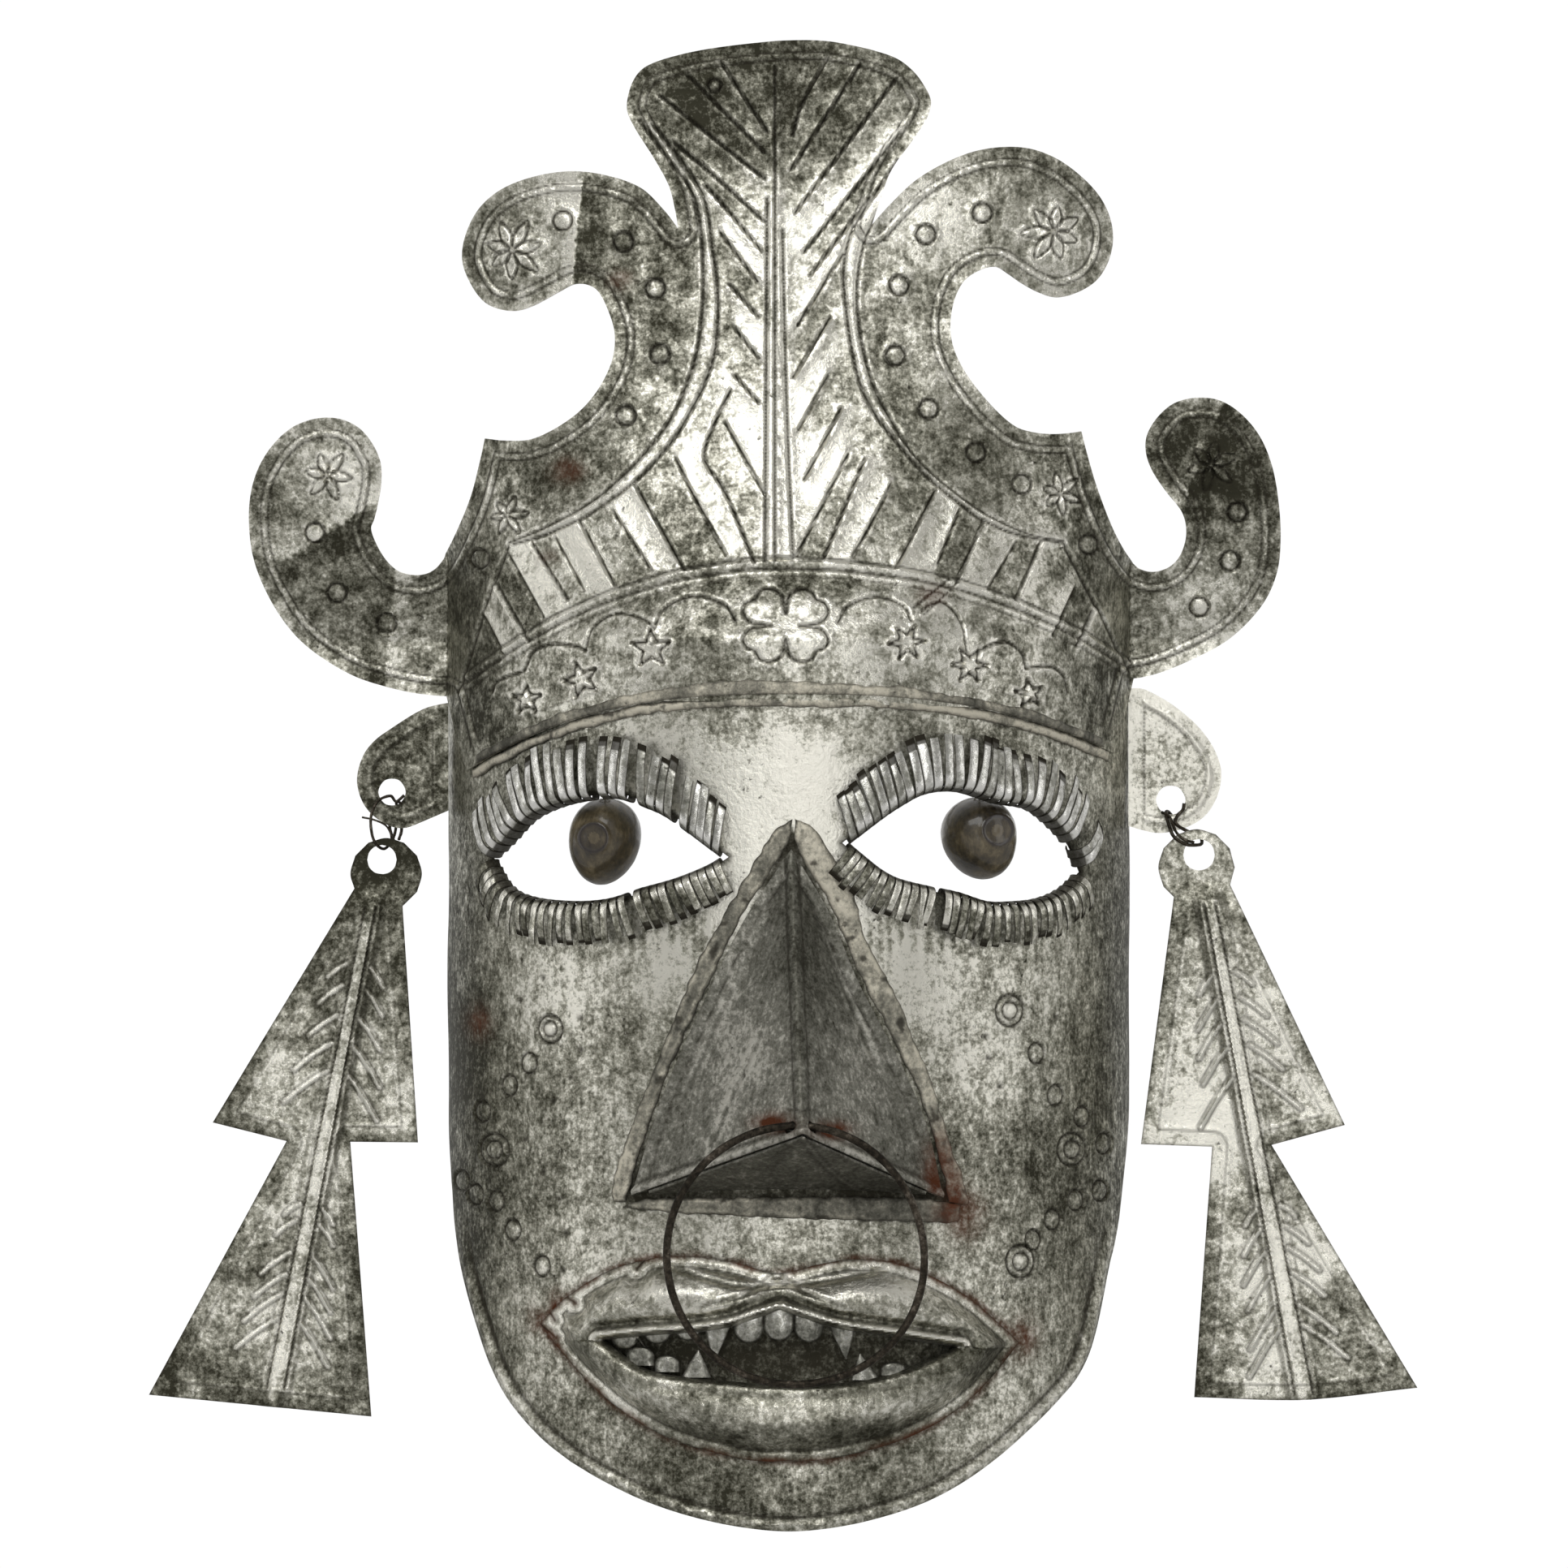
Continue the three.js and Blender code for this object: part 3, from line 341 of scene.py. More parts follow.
def sheet(name, rings, surface, relief, thickness, spacing, seed, fine=None,
          unroll=unchanged, roll=unchanged):
    """A thin sheet: rings of (x, z) filled with triangles, laid on surface(x, z) and embossed.

    Points are spaced evenly, and more closely (fine) where the relief is busy. On a round sheet,
    unroll and roll turn x into the distance along the sheet and back.
    """
    flat_rings = [np.column_stack([unroll(r[:, 0]), r[:, 1]]) for r in rings]

    def marks_at(flat, dented=True):
        x, z = roll(flat[:, 0]), flat[:, 1]
        marks = Relief(x, z, dented)
        relief(marks, distance_to(rings, x, z))
        marks.tone = np.where(marks.tone < 0, soft_limit(marks.tone, 0.7), soft_limit(marks.tone, 1.2))
        return marks

    def layer(spacing, fine, thickness):
        flat, faces = triangulate(flat_rings, spacing, seed, fine, lambda p: marks_at(p, False).busy)
        marks = marks_at(flat)
        points = np.column_stack([marks.x, surface(marks.x, marks.z), marks.z])
        normals = vertex_normals(points, faces)
        if normals[:, 1].mean() > 0:
            faces = faces[:, ::-1]
            normals = -normals
        points = points + normals * marks.height[:, None]
        if thickness:
            edge = distance_to(rings, marks.x, marks.z)
            hidden = np.clip(edge / 1.5, 0, 1) * 0.3
            points = points - normals * (thickness + hidden)[:, None]
        return flat, points, faces, marks

    flat, points, faces, marks = layer(spacing, fine, 0)
    back_flat, back, back_faces, back_marks = layer(max(spacing, 0.9) * 1.5, None, thickness)
    count = len(points)
    behind = {tuple(p): count + i for i, p in enumerate(np.round(back_flat * 1000).astype(int))}
    before = [tuple(p) for p in np.round(flat * 1000).astype(int)]
    walls = [(b, a, behind[before[a]], behind[before[b]]) for a, b in rim_edges(faces)]
    all_faces = [*faces.tolist(), *(back_faces[:, ::-1] + count).tolist(), *walls]
    values = {
        "tone": np.concatenate([marks.tone, back_marks.tone * 0.3]),
        "soil": np.concatenate([marks.soil, back_marks.soil * 0.4]),
        "rust": np.concatenate([marks.rust, back_marks.rust * 0.5]),
    }
    return make_object(name, np.vstack([points, back]), all_faces, values)


# ---------------------------------------------------------------- embossing
class Relief:
    """Height, tone, soil and painted shade, and rust of a sheet at points (x, z), built up mark by mark; tone
    holds painted light and shade as well as patina.
    """

    def __init__(self, x, z, dented=True):
        self.x, self.z = x, z
        self.dented = dented
        self.busy = np.zeros(len(x), bool)
        self.height = np.zeros(len(x))
        self.tone = np.zeros(len(x))
        self.soil = np.zeros(len(x))
        self.rust = np.zeros(len(x))

    def near(self, line, reach):
        """Points within reach of the line, their distances, and their sides: 1 left, -1 right, 0 ahead."""
        line = np.asarray(line, float)
        low, high = line.min(0) - reach, line.max(0) + reach
        ids = np.nonzero((self.x > low[0]) & (self.x < high[0]) & (self.z > low[1]) & (self.z < high[1]))[0]
        p = np.column_stack([self.x[ids], self.z[ids]])
        least = np.full(len(ids), 1e9)
        side = np.zeros(len(ids))
        for a, b in zip(line[:-1], line[1:]):
            d = b - a
            t = np.clip((p - a) @ d / (d @ d), 0, 1)
            q = p - a - t[:, None] * d
            distance = np.hypot(q[:, 0], q[:, 1])
            closer = distance < least
            turn = (d[0] * q[closer, 1] - d[1] * q[closer, 0]) / np.hypot(*d)
            side[closer] = turn / np.maximum(distance[closer], 1e-6)
            least[closer] = distance[closer]
        return ids, least, side

    def darken(self, soil, ids=slice(None)):
        """Darkens the points, or those with the given ids, to at least this much soil and painted shade."""
        self.soil[ids] = np.maximum(self.soil[ids], soil)

    def chase(self, points, depth=0.45, width=0.42, soil=0.9):
        """A line pressed in with a blunt tool, with slightly raised shoulders that carry a painted highlight.
        """
        ids, d, _ = self.near(smooth_line(points), 4)
        self.busy[ids] |= d < 3.2 * width
        self.height[ids] -= depth * bell(d, width)
        self.height[ids] += 0.4 * depth * bell(d - 2.2 * width, 1.2 * width)
        self.tone[ids] += 0.3 * bell(d - 2.4 * width, width)
        self.darken(soil * bell(d, 0.75 * width), ids)

    def bead(self, points, height=0.6, width=0.8, soil=0.8, tone=0.4):
        """A raised line with a painted highlight along its top and a dark line along each side."""
        ids, d, _ = self.near(smooth_line(points), 5)
        self.busy[ids] |= d < 1.75 * width + 0.8
        self.height[ids] += height * bell(d, width)
        self.tone[ids] += tone * bell(d, width)
        edge = bell(d - 1.75 * width, 0.32)
        self.height[ids] -= 0.25 * height * edge
        self.darken(soil * edge, ids)

    def barb(self, points, height=0.7, reach=4.0, side=1, tone=0.35):
        """A chased line with the sheet raised along one of its sides; the raised side carries a painted
        highlight and the low side painted shade.
        """
        self.chase(points)
        ids, d, sign = self.near(smooth_line(points), 3 * reach)
        raised, low = np.clip(sign * side, 0, 1), np.clip(-sign * side, 0, 1)
        lift = raised * np.exp(-d / reach) * (1 - np.exp(-d / 0.5))
        self.height[ids] += height * lift
        self.tone[ids] += tone * (lift - 0.35 * low * np.exp(-d / reach))

    def ring(self, x, z, radius, height=0.55, dome=0.35, soil=0.9, squash=1.0):
        """A round punched mark with a dark edge and a low dome inside it."""
        r = np.hypot((self.x - x) / squash, self.z - z)
        near = r < radius * 2.2
        r = r[near]
        self.busy[near] |= r < radius + 1.4
        edge = bell(r - radius, 0.36)
        self.height[near] -= height * edge
        self.height[near] += 0.5 * height * bell(r - radius - 0.9, 0.5)
        self.height[near] += dome * np.clip(1 - (r / radius) ** 2, 0, 1)
        self.darken(soil * edge, near)
        self.tone[near] += 0.25 * np.clip(1 - (r / radius) ** 2, 0, 1)

    def pit(self, x, z, radius=0.7, depth=0.5):
        """A small punched hollow."""
        r = np.hypot(self.x - x, self.z - z)
        mark = bell(r, radius)
        self.busy |= r < 2.2 * radius
        self.height -= depth * mark
        self.darken(0.9 * mark)

    def petals(self, x, z, length, count, turn):
        """A flower of chased petals, each raised along its middle."""
        width = 0.35
        centre = np.array([x, z])
        for k in range(count):
            angle = turn + 2 * math.pi * k / count
            along = np.array([math.cos(angle), math.sin(angle)])
            across = np.array([-along[1], along[0]])
            own = length * (1 + 0.14 * math.sin(5 * k + x))
            loop = [centre + along * own * t + across * length * width * 0.62 * math.sin(math.pi * t) * s
                    for s, ts in ((1, (0.1, 0.4, 0.75, 1)), (-1, (0.75, 0.4, 0.1))) for t in ts]
            self.chase(loop, 0.4, 0.36, 0.85)
            ids, d, _ = self.near([centre + along * length * 0.3, centre + along * length * 0.8], 3)
            self.height[ids] += 0.5 * bell(d, length * 0.2)
            self.tone[ids] += 0.4 * bell(d, length * 0.2)

    def star(self, x, z, radius, points, turn):
        """A chased star with a raised middle."""
        tips = [(x + radius * (1 if k % 2 == 0 else 0.45) * math.cos(turn + math.pi * k / points),
                 z + radius * (1 if k % 2 == 0 else 0.45) * math.sin(turn + math.pi * k / points))
                for k in range(2 * points + 1)]
        for a, b in zip(tips[:-1], tips[1:]):
            self.chase([a, b], 0.5, 0.45, 1.0)
        r = np.hypot(self.x - x, self.z - z)
        self.height += 0.55 * bell(r, radius * 0.5)
        self.tone += 0.5 * bell(r, radius * 0.55)

    def patch(self, x, z, rx, rz, tone=0.0, soil=0.0, rust=0.0, height=0.0):
        """A soft oval area, lighter or darker, soiled or darkened as painted shade, rusty, dented or raised.
        """
        mark = np.exp(-(((self.x - x) / rx) ** 2 + ((self.z - z) / rz) ** 2))
        self.tone += tone * mark
        self.soil = np.clip(self.soil + soil * mark, 0, 1)
        self.rust = np.clip(self.rust + rust * mark, 0, 1)
        self.height += height * mark

    def dents(self, size, amount, seed):
        """Shallow dents of the given size all over the sheet."""
        if self.dented:
            self.height += amount * wobble(self.x, self.z, size, seed)

    def border(self, edge, place, width, height, soil_lines, share=1.0):
        """A raised line that runs round the sheet at the given distance from its edge."""
        mark = share * bell(edge - place, width)
        self.height += height * mark
        self.tone += 0.45 * mark
        for line in soil_lines:
            self.darken(share * 0.85 * bell(edge - line, 0.27))
            self.busy |= (np.abs(edge - line) < 0.9) & (share > 0.05)


def wobble(x, z, size, seed):
    """Smooth noise between about -1 and 1, with features of the given size."""
    offset = seed * 17.3
    return np.array([noise.noise((a / size + offset, b / size, offset)) for a, b in zip(x, z)])


# ---------------------------------------------------------------- materials
class Shading:
    """Adds linked nodes to a node tree; a value may be a number, a colour or a socket."""

    def __init__(self, tree):
        self.nodes, self.links = tree.nodes, tree.links

    def put(self, socket, value):
        if isinstance(value, (int, float)):
            socket.default_value = value
        elif isinstance(value, tuple):
            socket.default_value = (*value, 1)
        else:
            self.links.new(value, socket)

    def place(self):
        return self.nodes.new("ShaderNodeTexCoord").outputs["Object"]

    def attribute(self, name):
        made = self.nodes.new("ShaderNodeAttribute")
        made.attribute_name = name
        return made.outputs["Fac"]

    def noise(self, coordinates, scale, detail=4.0, roughness=0.6, stretch=None):
        texture = self.nodes.new("ShaderNodeTexNoise")
        texture.inputs["Scale"].default_value = scale
        texture.inputs["Detail"].default_value = detail
        texture.inputs["Roughness"].default_value = roughness
        if stretch:
            mapping = self.nodes.new("ShaderNodeMapping")
            mapping.inputs["Scale"].default_value = stretch
            self.links.new(coordinates, mapping.inputs["Vector"])
            coordinates = mapping.outputs["Vector"]
        self.links.new(coordinates, texture.inputs["Vector"])
        return texture.outputs["Fac"]

    def maths(self, operation, a, b, clamp=False):
        made = self.nodes.new("ShaderNodeMath")
        made.operation = operation
        made.use_clamp = clamp
        for socket, value in zip(made.inputs, (a, b)):
            self.put(socket, value)
        return made.outputs[0]

    def ramp(self, factor, stops):
        made = self.nodes.new("ShaderNodeValToRGB")
        elements = made.color_ramp.elements
        while len(elements) < len(stops):
            elements.new(0.5)
        for element, (position, colour) in zip(elements, stops):
            element.position = position
            element.color = (*(colour if isinstance(colour, tuple) else (colour,) * 3), 1)
        self.links.new(factor, made.inputs["Fac"])
        return made.outputs["Color"]

    def blend(self, factor, a, b, colours=False):
        """A mix of a and b: of two colours, or of two values."""
        made = self.nodes.new("ShaderNodeMix")
        made.data_type = "RGBA" if colours else "FLOAT"
        first, result = (6, 2) if colours else (2, 0)
        self.links.new(factor, made.inputs[0])
        self.put(made.inputs[first], a)
        self.put(made.inputs[first + 1], b)
        return made.outputs[result]

    def bumps(self, height, strength, distance, shader):
        made = self.nodes.new("ShaderNodeBump")
        made.inputs["Strength"].default_value = strength
        made.inputs["Distance"].default_value = distance
        self.links.new(height, made.inputs["Height"])
        self.links.new(made.outputs["Normal"], shader.inputs["Normal"])


def new_material(name):
    """A material, its Shading, its object coordinates and its principled shader."""
    material = bpy.data.materials.new(name)
    material.use_nodes = True
    material.node_tree.nodes.clear()
    net = Shading(material.node_tree)
    place = net.place()
    shader = net.nodes.new("ShaderNodeBsdfPrincipled")
    output = net.nodes.new("ShaderNodeOutputMaterial")
    net.links.new(shader.outputs["BSDF"], output.inputs["Surface"])
    return material, net, place, shader


RAMP_STOPS = (0.12, 0.38, 0.6, 0.82)
SOIL_AND_SHADE_COLOUR = (0.045, 0.04, 0.03)
RUST_COLOUR = (0.15, 0.055, 0.028)


def metal(name, colours, roughness, metallic=1.0, size=26.0,
          blotch=1.0, mottle=1.2, grain=1.2, shift=0.0, bump=1.0):
    """Tarnished metal: colours and roughness run from the darkest patina to the brightest wear, and the tone
    attribute, which also holds painted light and shade, moves a point along them.

    blotch, mottle and grain are the strengths of the large, middle and fine variations.
    """
    material, net, place, shader = new_material(name)
    shader.inputs["Metallic"].default_value = metallic

    large = net.noise(place, size, 3, 0.5)
    medium = net.noise(place, size * 8, 6, 0.66)
    fine = net.noise(place, 760, 5, 0.72)
    rolled = net.noise(place, 620, 2, 0.5, (1, 1, 0.2))
    weights = ((large, blotch), (medium, mottle), (fine, grain), (rolled, 0.3))
    start = 0.5 + shift - 0.5 * sum(weight for _, weight in weights)
    total = net.maths("MULTIPLY", net.attribute("tone"), 0.5)
    for source, weight in weights:
        total = net.maths("ADD", total, net.maths("MULTIPLY", source, weight))
    total = net.maths("ADD", total, start, clamp=True)
    colour = net.ramp(total, list(zip(RAMP_STOPS, colours)))
    rough = net.ramp(total, list(zip(RAMP_STOPS, roughness)))

    specks = net.ramp(net.noise(place, 420, 5, 0.7), [(0.33, 1.0), (0.39, 0.0)])
    rare = net.ramp(net.noise(place, 95, 2, 0.5), [(0.45, 0.0), (0.6, 1.0)])
    speck = net.maths("MULTIPLY", specks, rare)
    # The soil attribute holds real soil and painted shade alike; both darken towards the soil colour.
    soil = net.maths("MAXIMUM", net.attribute("soil"), net.maths("MULTIPLY", speck, 0.8))
    colour = net.blend(soil, colour, SOIL_AND_SHADE_COLOUR, colours=True)
    rough = net.blend(soil, rough, 0.75)
    broken = net.ramp(net.noise(place, 300, 5, 0.7), [(0.3, 0.2), (0.7, 1.0)])
    rust = net.maths("MULTIPLY", net.attribute("rust"), broken)
    rust = net.maths("MULTIPLY", rust, 1.5, clamp=True)
    colour = net.blend(rust, colour, RUST_COLOUR, colours=True)
    rough = net.blend(rust, rough, 0.85)
    net.links.new(colour, shader.inputs["Base Color"])
    net.links.new(rough, shader.inputs["Roughness"])

    relief = net.maths("ADD", net.maths("MULTIPLY", fine, 0.35), medium)
    net.bumps(relief, 0.55 * bump, 0.0007, shader)
    return material


TIN_COLOURS = ((0.05, 0.048, 0.033), (0.19, 0.186, 0.146), (0.44, 0.43, 0.36), (0.88, 0.86, 0.77))
DULL_TIN = ((0.06, 0.058, 0.045), (0.15, 0.147, 0.122), (0.25, 0.245, 0.21), (0.5, 0.485, 0.43))
SOLDER_COLOURS = ((0.09, 0.087, 0.07), (0.2, 0.193, 0.158), (0.37, 0.352, 0.288), (0.66, 0.62, 0.51))
CUT_TIN_COLOURS = ((0.14, 0.14, 0.118), (0.38, 0.375, 0.33), (0.66, 0.655, 0.61), (0.92, 0.91, 0.87))
WIRE_COLOURS = ((0.012, 0.01, 0.007), (0.028, 0.023, 0.016), (0.055, 0.045, 0.033), (0.14, 0.12, 0.095))

tin = metal("beaten_tin", TIN_COLOURS, (0.62, 0.5, 0.38, 0.28), blotch=0.8, mottle=1.0, grain=1.5)
crown_tin = metal("embossed_tin", TIN_COLOURS, (0.6, 0.46, 0.34, 0.25),
                  blotch=1.1, mottle=1.2, grain=1.4, shift=0.02)
nose_tin = metal("dull_tin", DULL_TIN, (0.62, 0.55, 0.48, 0.4), blotch=0.6, mottle=0.9, grain=1.3)
lip_tin = metal("lip_tin", TIN_COLOURS, (0.55, 0.36, 0.25, 0.18), size=34, blotch=0.8, mottle=1.0, grain=1.1)
solder = metal("soft_solder", SOLDER_COLOURS, (0.7, 0.62, 0.55, 0.45), metallic=0.7,
               blotch=0.7, grain=0.9, bump=1.4)
bright_tin = metal("cut_tin", CUT_TIN_COLOURS, (0.5, 0.3, 0.18, 0.14), size=60,
                   mottle=0.8, grain=0.9, bump=0.5)
dull_strips = metal("aged_cut_tin", TIN_COLOURS, (0.55, 0.38, 0.26, 0.2), size=60,
                    mottle=0.9, grain=1.2, bump=0.5)
iron = metal("oxidised_wire", WIRE_COLOURS, (0.6, 0.5, 0.4, 0.28), metallic=0.85, size=80)


def dress(piece, material, body, slot_name, *nodes):
    """Gives a piece its material and body, and hides the CAD nodes it replaces."""
    piece.data.materials.clear()
    piece.data.materials.append(material)
    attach(piece, body)
    if nodes:
        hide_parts(*nodes)


# ---------------------------------------------------------------- the face sheet
# Punched marks are (x, z) or (x, z, radius), and tones are (x, z, half-width, half-height, tone).
DOUBLE_RINGS = ((-67.7, -99.6, 3.9), (-83.6, -134.1, 4.6), (62.5, -94.3, 4.4), (80.4, -133.9, 4.6),
                (65.5, -165.4, 4.6))
CHEEK_RINGS = (
    (-73.7, -109.3), (-79.2, -115.7), (-87, -123.3), (-83.1, -148.6), (-89.1, -147), (-93.2, -143.3),
    (-78.3, -156.7), (-70, -166.8), (70.1, -106.5), (75.6, -118.5), (83.4, -124.7), (88.5, -145.9),
    (81.6, -148.4), (74.9, -153.7), (69.2, -159.4), (89.6, -132.5),
)
CHEEK_PITS = (
    (-76.4, -91.6), (-69.8, -85.1), (-58.9, -96.6), (-58.9, -105.4), (-61.7, -113.2), (-66.8, -120.1),
    (-74.8, -130.9), (-69.8, -140.1), (-65.2, -147.7), (-63.3, -157.4), (-64.2, -167.9), (75.6, -96.2),
    (55.6, -101.7), (56.5, -107.7), (59.7, -115.7), (67.3, -139.2),
)
# Mostly painted light and shade: painted highlights on the forehead, the brow and beside the nose, painted
# shade down both sides where the sheet turns away, with smaller tone changes between.
FACE_TONE_AND_PAINTED_LIGHT = (
    (-10, -24, 34, 16, 0.5), (0, -36, 22, 20, 1.6), (-16, -62, 8, 14, 1.4), (18, -64, 6, 12, 0.7),
    (-34, -84, 10, 14, 1.0), (37, -88, 13, 14, 0.9), (-97, -120, 12, 70, -1.0), (97, -120, 12, 80, -0.8),
    (-58, -20, 18, 8, -0.1), (70, -135, 16, 22, -0.15), (-45, -120, 20, 25, 0.2), (60, -100, 20, 20, 0.25),
    (-72, -98, 14, 18, 0.3), (-70, -150, 16, 24, 0.15), (0, -157, 40, 6, 0.3), (0, -232, 60, 10, -0.25),
    (-66, -112, 10, 14, -0.2),
)


def face_relief(m, edge):
    x, z = m.x, m.z
    m.dents(34, 0.55, 3)
    m.dents(13, 0.16, 5)
    chin = np.clip((-150 - z) / 25, 0, 1)
    m.border(edge, 1.9, 1.1, 1.1, (3.7, 4.0), chin)
    m.height -= chin * 0.5 * bell(edge - 4.1, 0.6)

    for cx, cz, r in DOUBLE_RINGS:
        m.ring(cx, cz, r, squash=0.88)
        m.ring(cx, cz, r * 0.55, squash=0.88)
    for cx, cz in CHEEK_RINGS:
        m.ring(cx, cz, 2.9, squash=0.75)
    for cx, cz in CHEEK_PITS:
        m.pit(cx, cz)
    for area in FACE_TONE_AND_PAINTED_LIGHT:
        m.patch(*area)
    # Painted reflections and shadows of the lower lashes: light and dark streaks on the cheeks below the
    # eyes.
    for cx in (-33, 34):
        painted_lash_streaks = np.sin(x * 1.9 + 1.6 * np.sin(x / 4))
        m.tone += 0.55 * painted_lash_streaks * np.exp(-(((x - cx) / 16) ** 4 + ((z + 73) / 5.5) ** 2))
    # Painted shade, with some soil, on the face where it shows behind the mouth.
    m.patch(-2, -191, 46, 8, -1.2, 0.55)
    # Painted shade along the creases where the nose's sides meet the face.
    for foot in (NOSE_FOOT_LEFT, NOSE_FOOT_RIGHT):
        ids, d, _ = m.near([(0.6, -45), foot[::2]], 5)
        m.darken(0.75 * bell(d, 1.9), ids)
        m.tone[ids] -= 1.2 * bell(d, 2.4)
    # Painted shade in a band under the nose.
    shade_under_nose = np.exp(-(((z + 146.6) / 2.4) ** 4)) * (np.abs(x) < 44)
    m.darken(0.6 * shade_under_nose)
    m.tone -= 0.8 * shade_under_nose
    # Painted shade round the eye holes, under the lashes.
    shade_round_eye_holes = bell(edge, 1.1) * ((np.abs(x) < 90) & (z > -80) & (z < -30))
    m.darken(0.8 * shade_round_eye_holes)
    m.tone -= 0.9 * shade_round_eye_holes
    mouth_edge = distance_to([mouth_rings[0]], x, z)
    broken = np.clip(0.45 + 0.9 * wobble(x, z, 9, 11), 0, 1)
    m.rust = np.clip(m.rust + 0.9 * broken * bell(mouth_edge, 1.1), 0, 1)
    m.darken(0.7 * bell(mouth_edge, 0.7))
    for cx, cz, r in ((50, -152, 5), (46.5, -146, 3.2), (-72, -182, 3), (66, -187, 4), (-66, -176, 2.4),
                      (-88, -98, 3.4)):
        m.patch(cx, cz, r, r * 1.3, 0, 0, 0.75 if r > 3.3 else 0.5)


MOUTH_SLOPE = 0.0187
mouth_rings = [smooth_loop(loop) for loop in front_loops("mouth_plate")]
gap_edge = mouth_rings[1]
on_upper = gap_edge[:, 1] > -187.3 - MOUTH_SLOPE * (gap_edge[:, 0] + 50.7)
from_peak = gap_edge[:, 0] + 2.5
droop = 3.6 * np.clip(1 - (from_peak / 48.2) ** 2, 0, 1) * (1 - 1.1 * np.exp(-np.abs(from_peak) / 12))
gap_edge[:, 1] -= np.where(on_upper, droop, 0)
face_rings = [smooth_loop(loop) for loop in front_loops("face_shell")]
for ring in face_rings:
    ring[:, 0] = np.clip(ring[:, 0], -HALF_WIDTH, HALF_WIDTH)
face = sheet("face", face_rings, lambda x, z: shell_y(x), face_relief,
             thickness=0.8, spacing=1.45, fine=0.55, seed=1, **ROUND_FACE)
dress(face, tin, "mask", "tin", "face_shell", "chin_rim")


# ---------------------------------------------------------------- the crown
# Lines are (x, z) points. A rail is its outer and its inner line, a scallop is its start, peak and end, a
# star is (x, z, radius), and rust is (x, z, size, strength).
RAIL_LEFT = (
    [
        (-42.4, 158.2), (-33, 145.5), (-27.3, 137.2), (-25.1, 127.4), (-24.4, 115), (-24.6, 104.6),
        (-26.2, 92.3), (-28.9, 83.7), (-32.6, 75), (-40.6, 63.9), (-51.7, 52.9), (-59.7, 47.3),
        (-69, 42.4), (-79.1, 38.1),
    ],
    [
        (-38.5, 157), (-31, 147.5), (-24.2, 136), (-21.7, 121.2), (-20.2, 108.9), (-20.7, 94.7),
        (-22.8, 86.1), (-26.4, 78.1), (-32.6, 67.6), (-43.7, 55.3), (-52.9, 48.5), (-59.1, 44.6),
        (-70.2, 39.9), (-77.6, 37.8),
    ],
)
RAIL_RIGHT = (
    [
        (31, 147), (23.9, 136.6), (17.4, 125.5), (15.4, 115), (16.2, 104), (17.5, 94.7), (20.4, 82.4),
        (24.1, 75), (29.6, 67.6), (35.8, 60.2), (41.9, 54.1), (48.1, 49.2), (54.9, 44.2), (64.1, 40.5),
        (77.1, 38.1),
    ],
    [
        (34, 146), (27, 135), (21.5, 124), (19.2, 110), (20.2, 97.2), (23.5, 83.7), (28.4, 73.8),
        (34.5, 63.9), (43.2, 55.3), (53, 47.9), (61.6, 43), (70.3, 39.9), (77.7, 38.7),
    ],
)
BARBS_LEFT = (
    [(-19.3, 174.8), (-6.3, 155.1)], [(-28.5, 170.8), (-6.9, 148.9)], [(-36.5, 165.2), (-6.9, 141.5)],
    [(-32.8, 152), (-21.7, 142.8), (-6.9, 129.2)], [(-23.6, 139.7), (-15.6, 130.4), (-7.6, 120.6)],
    [(-19.3, 126.1), (-8.8, 112)], [(-16.8, 111.3), (-8.8, 102.1)], [(-15.4, 99), (-8.6, 90.4)],
    [(-15.4, 85.5), (-8.6, 77.5)], [(-17.8, 71.9), (-6.9, 51.6)],
    [(-16.6, 81.2), (-20.9, 72.6), (-24, 62.1), (-18.4, 52.9), (-9.8, 31.9)],
    [(-32, 62.1), (-27.7, 52.9), (-17.8, 34.4)], [(-43.7, 54.7), (-36.9, 43), (-29.5, 30.1)],
    [(-49.9, 47.3), (-45.5, 40.5), (-38.8, 30.1)], [(-59.1, 44.2), (-49.2, 26)],
    [(-65.9, 39.3), (-57.9, 24.5)], [(-72.7, 38.1), (-62.6, 22)], [(-79.2, 34.9), (-69.5, 17.2)],
    [(-82.6, 26.2), (-73.7, 10.3)], [(-86.5, 18.1), (-80.8, 6.9)],
)
BARBS_RIGHT = (
    [(10.9, 176), (3.5, 162.5), (1, 153.8)], [(20.2, 174.2), (0.5, 144)], [(30.7, 170.5), (1.7, 131.7)],
    [(31.3, 154.5), (4.2, 120.6)], [(22.6, 136), (6, 113.8)], [(15.2, 120), (2.3, 99.6)],
    [(11.7, 102), (1.3, 84.9)], [(11.1, 85.5), (2.5, 70.1)], [(14.8, 76.3), (4.4, 55.9)],
    [(16.7, 63.3), (1.9, 33.8)], [(21.6, 62.1), (9.9, 33.8)], [(29, 54.7), (17.9, 33.8)],
    [(41.3, 52.9), (30.2, 30.7)], [(48.1, 47.3), (41.9, 31.9)], [(54.9, 44.2), (46.9, 26.4)],
    [(64.1, 38.1), (56.1, 25)], [(71.2, 38.4), (63.9, 22)], [(80.9, 25.5), (74.5, 12.1)],
    [(86, 19), (81.5, 9)],
)
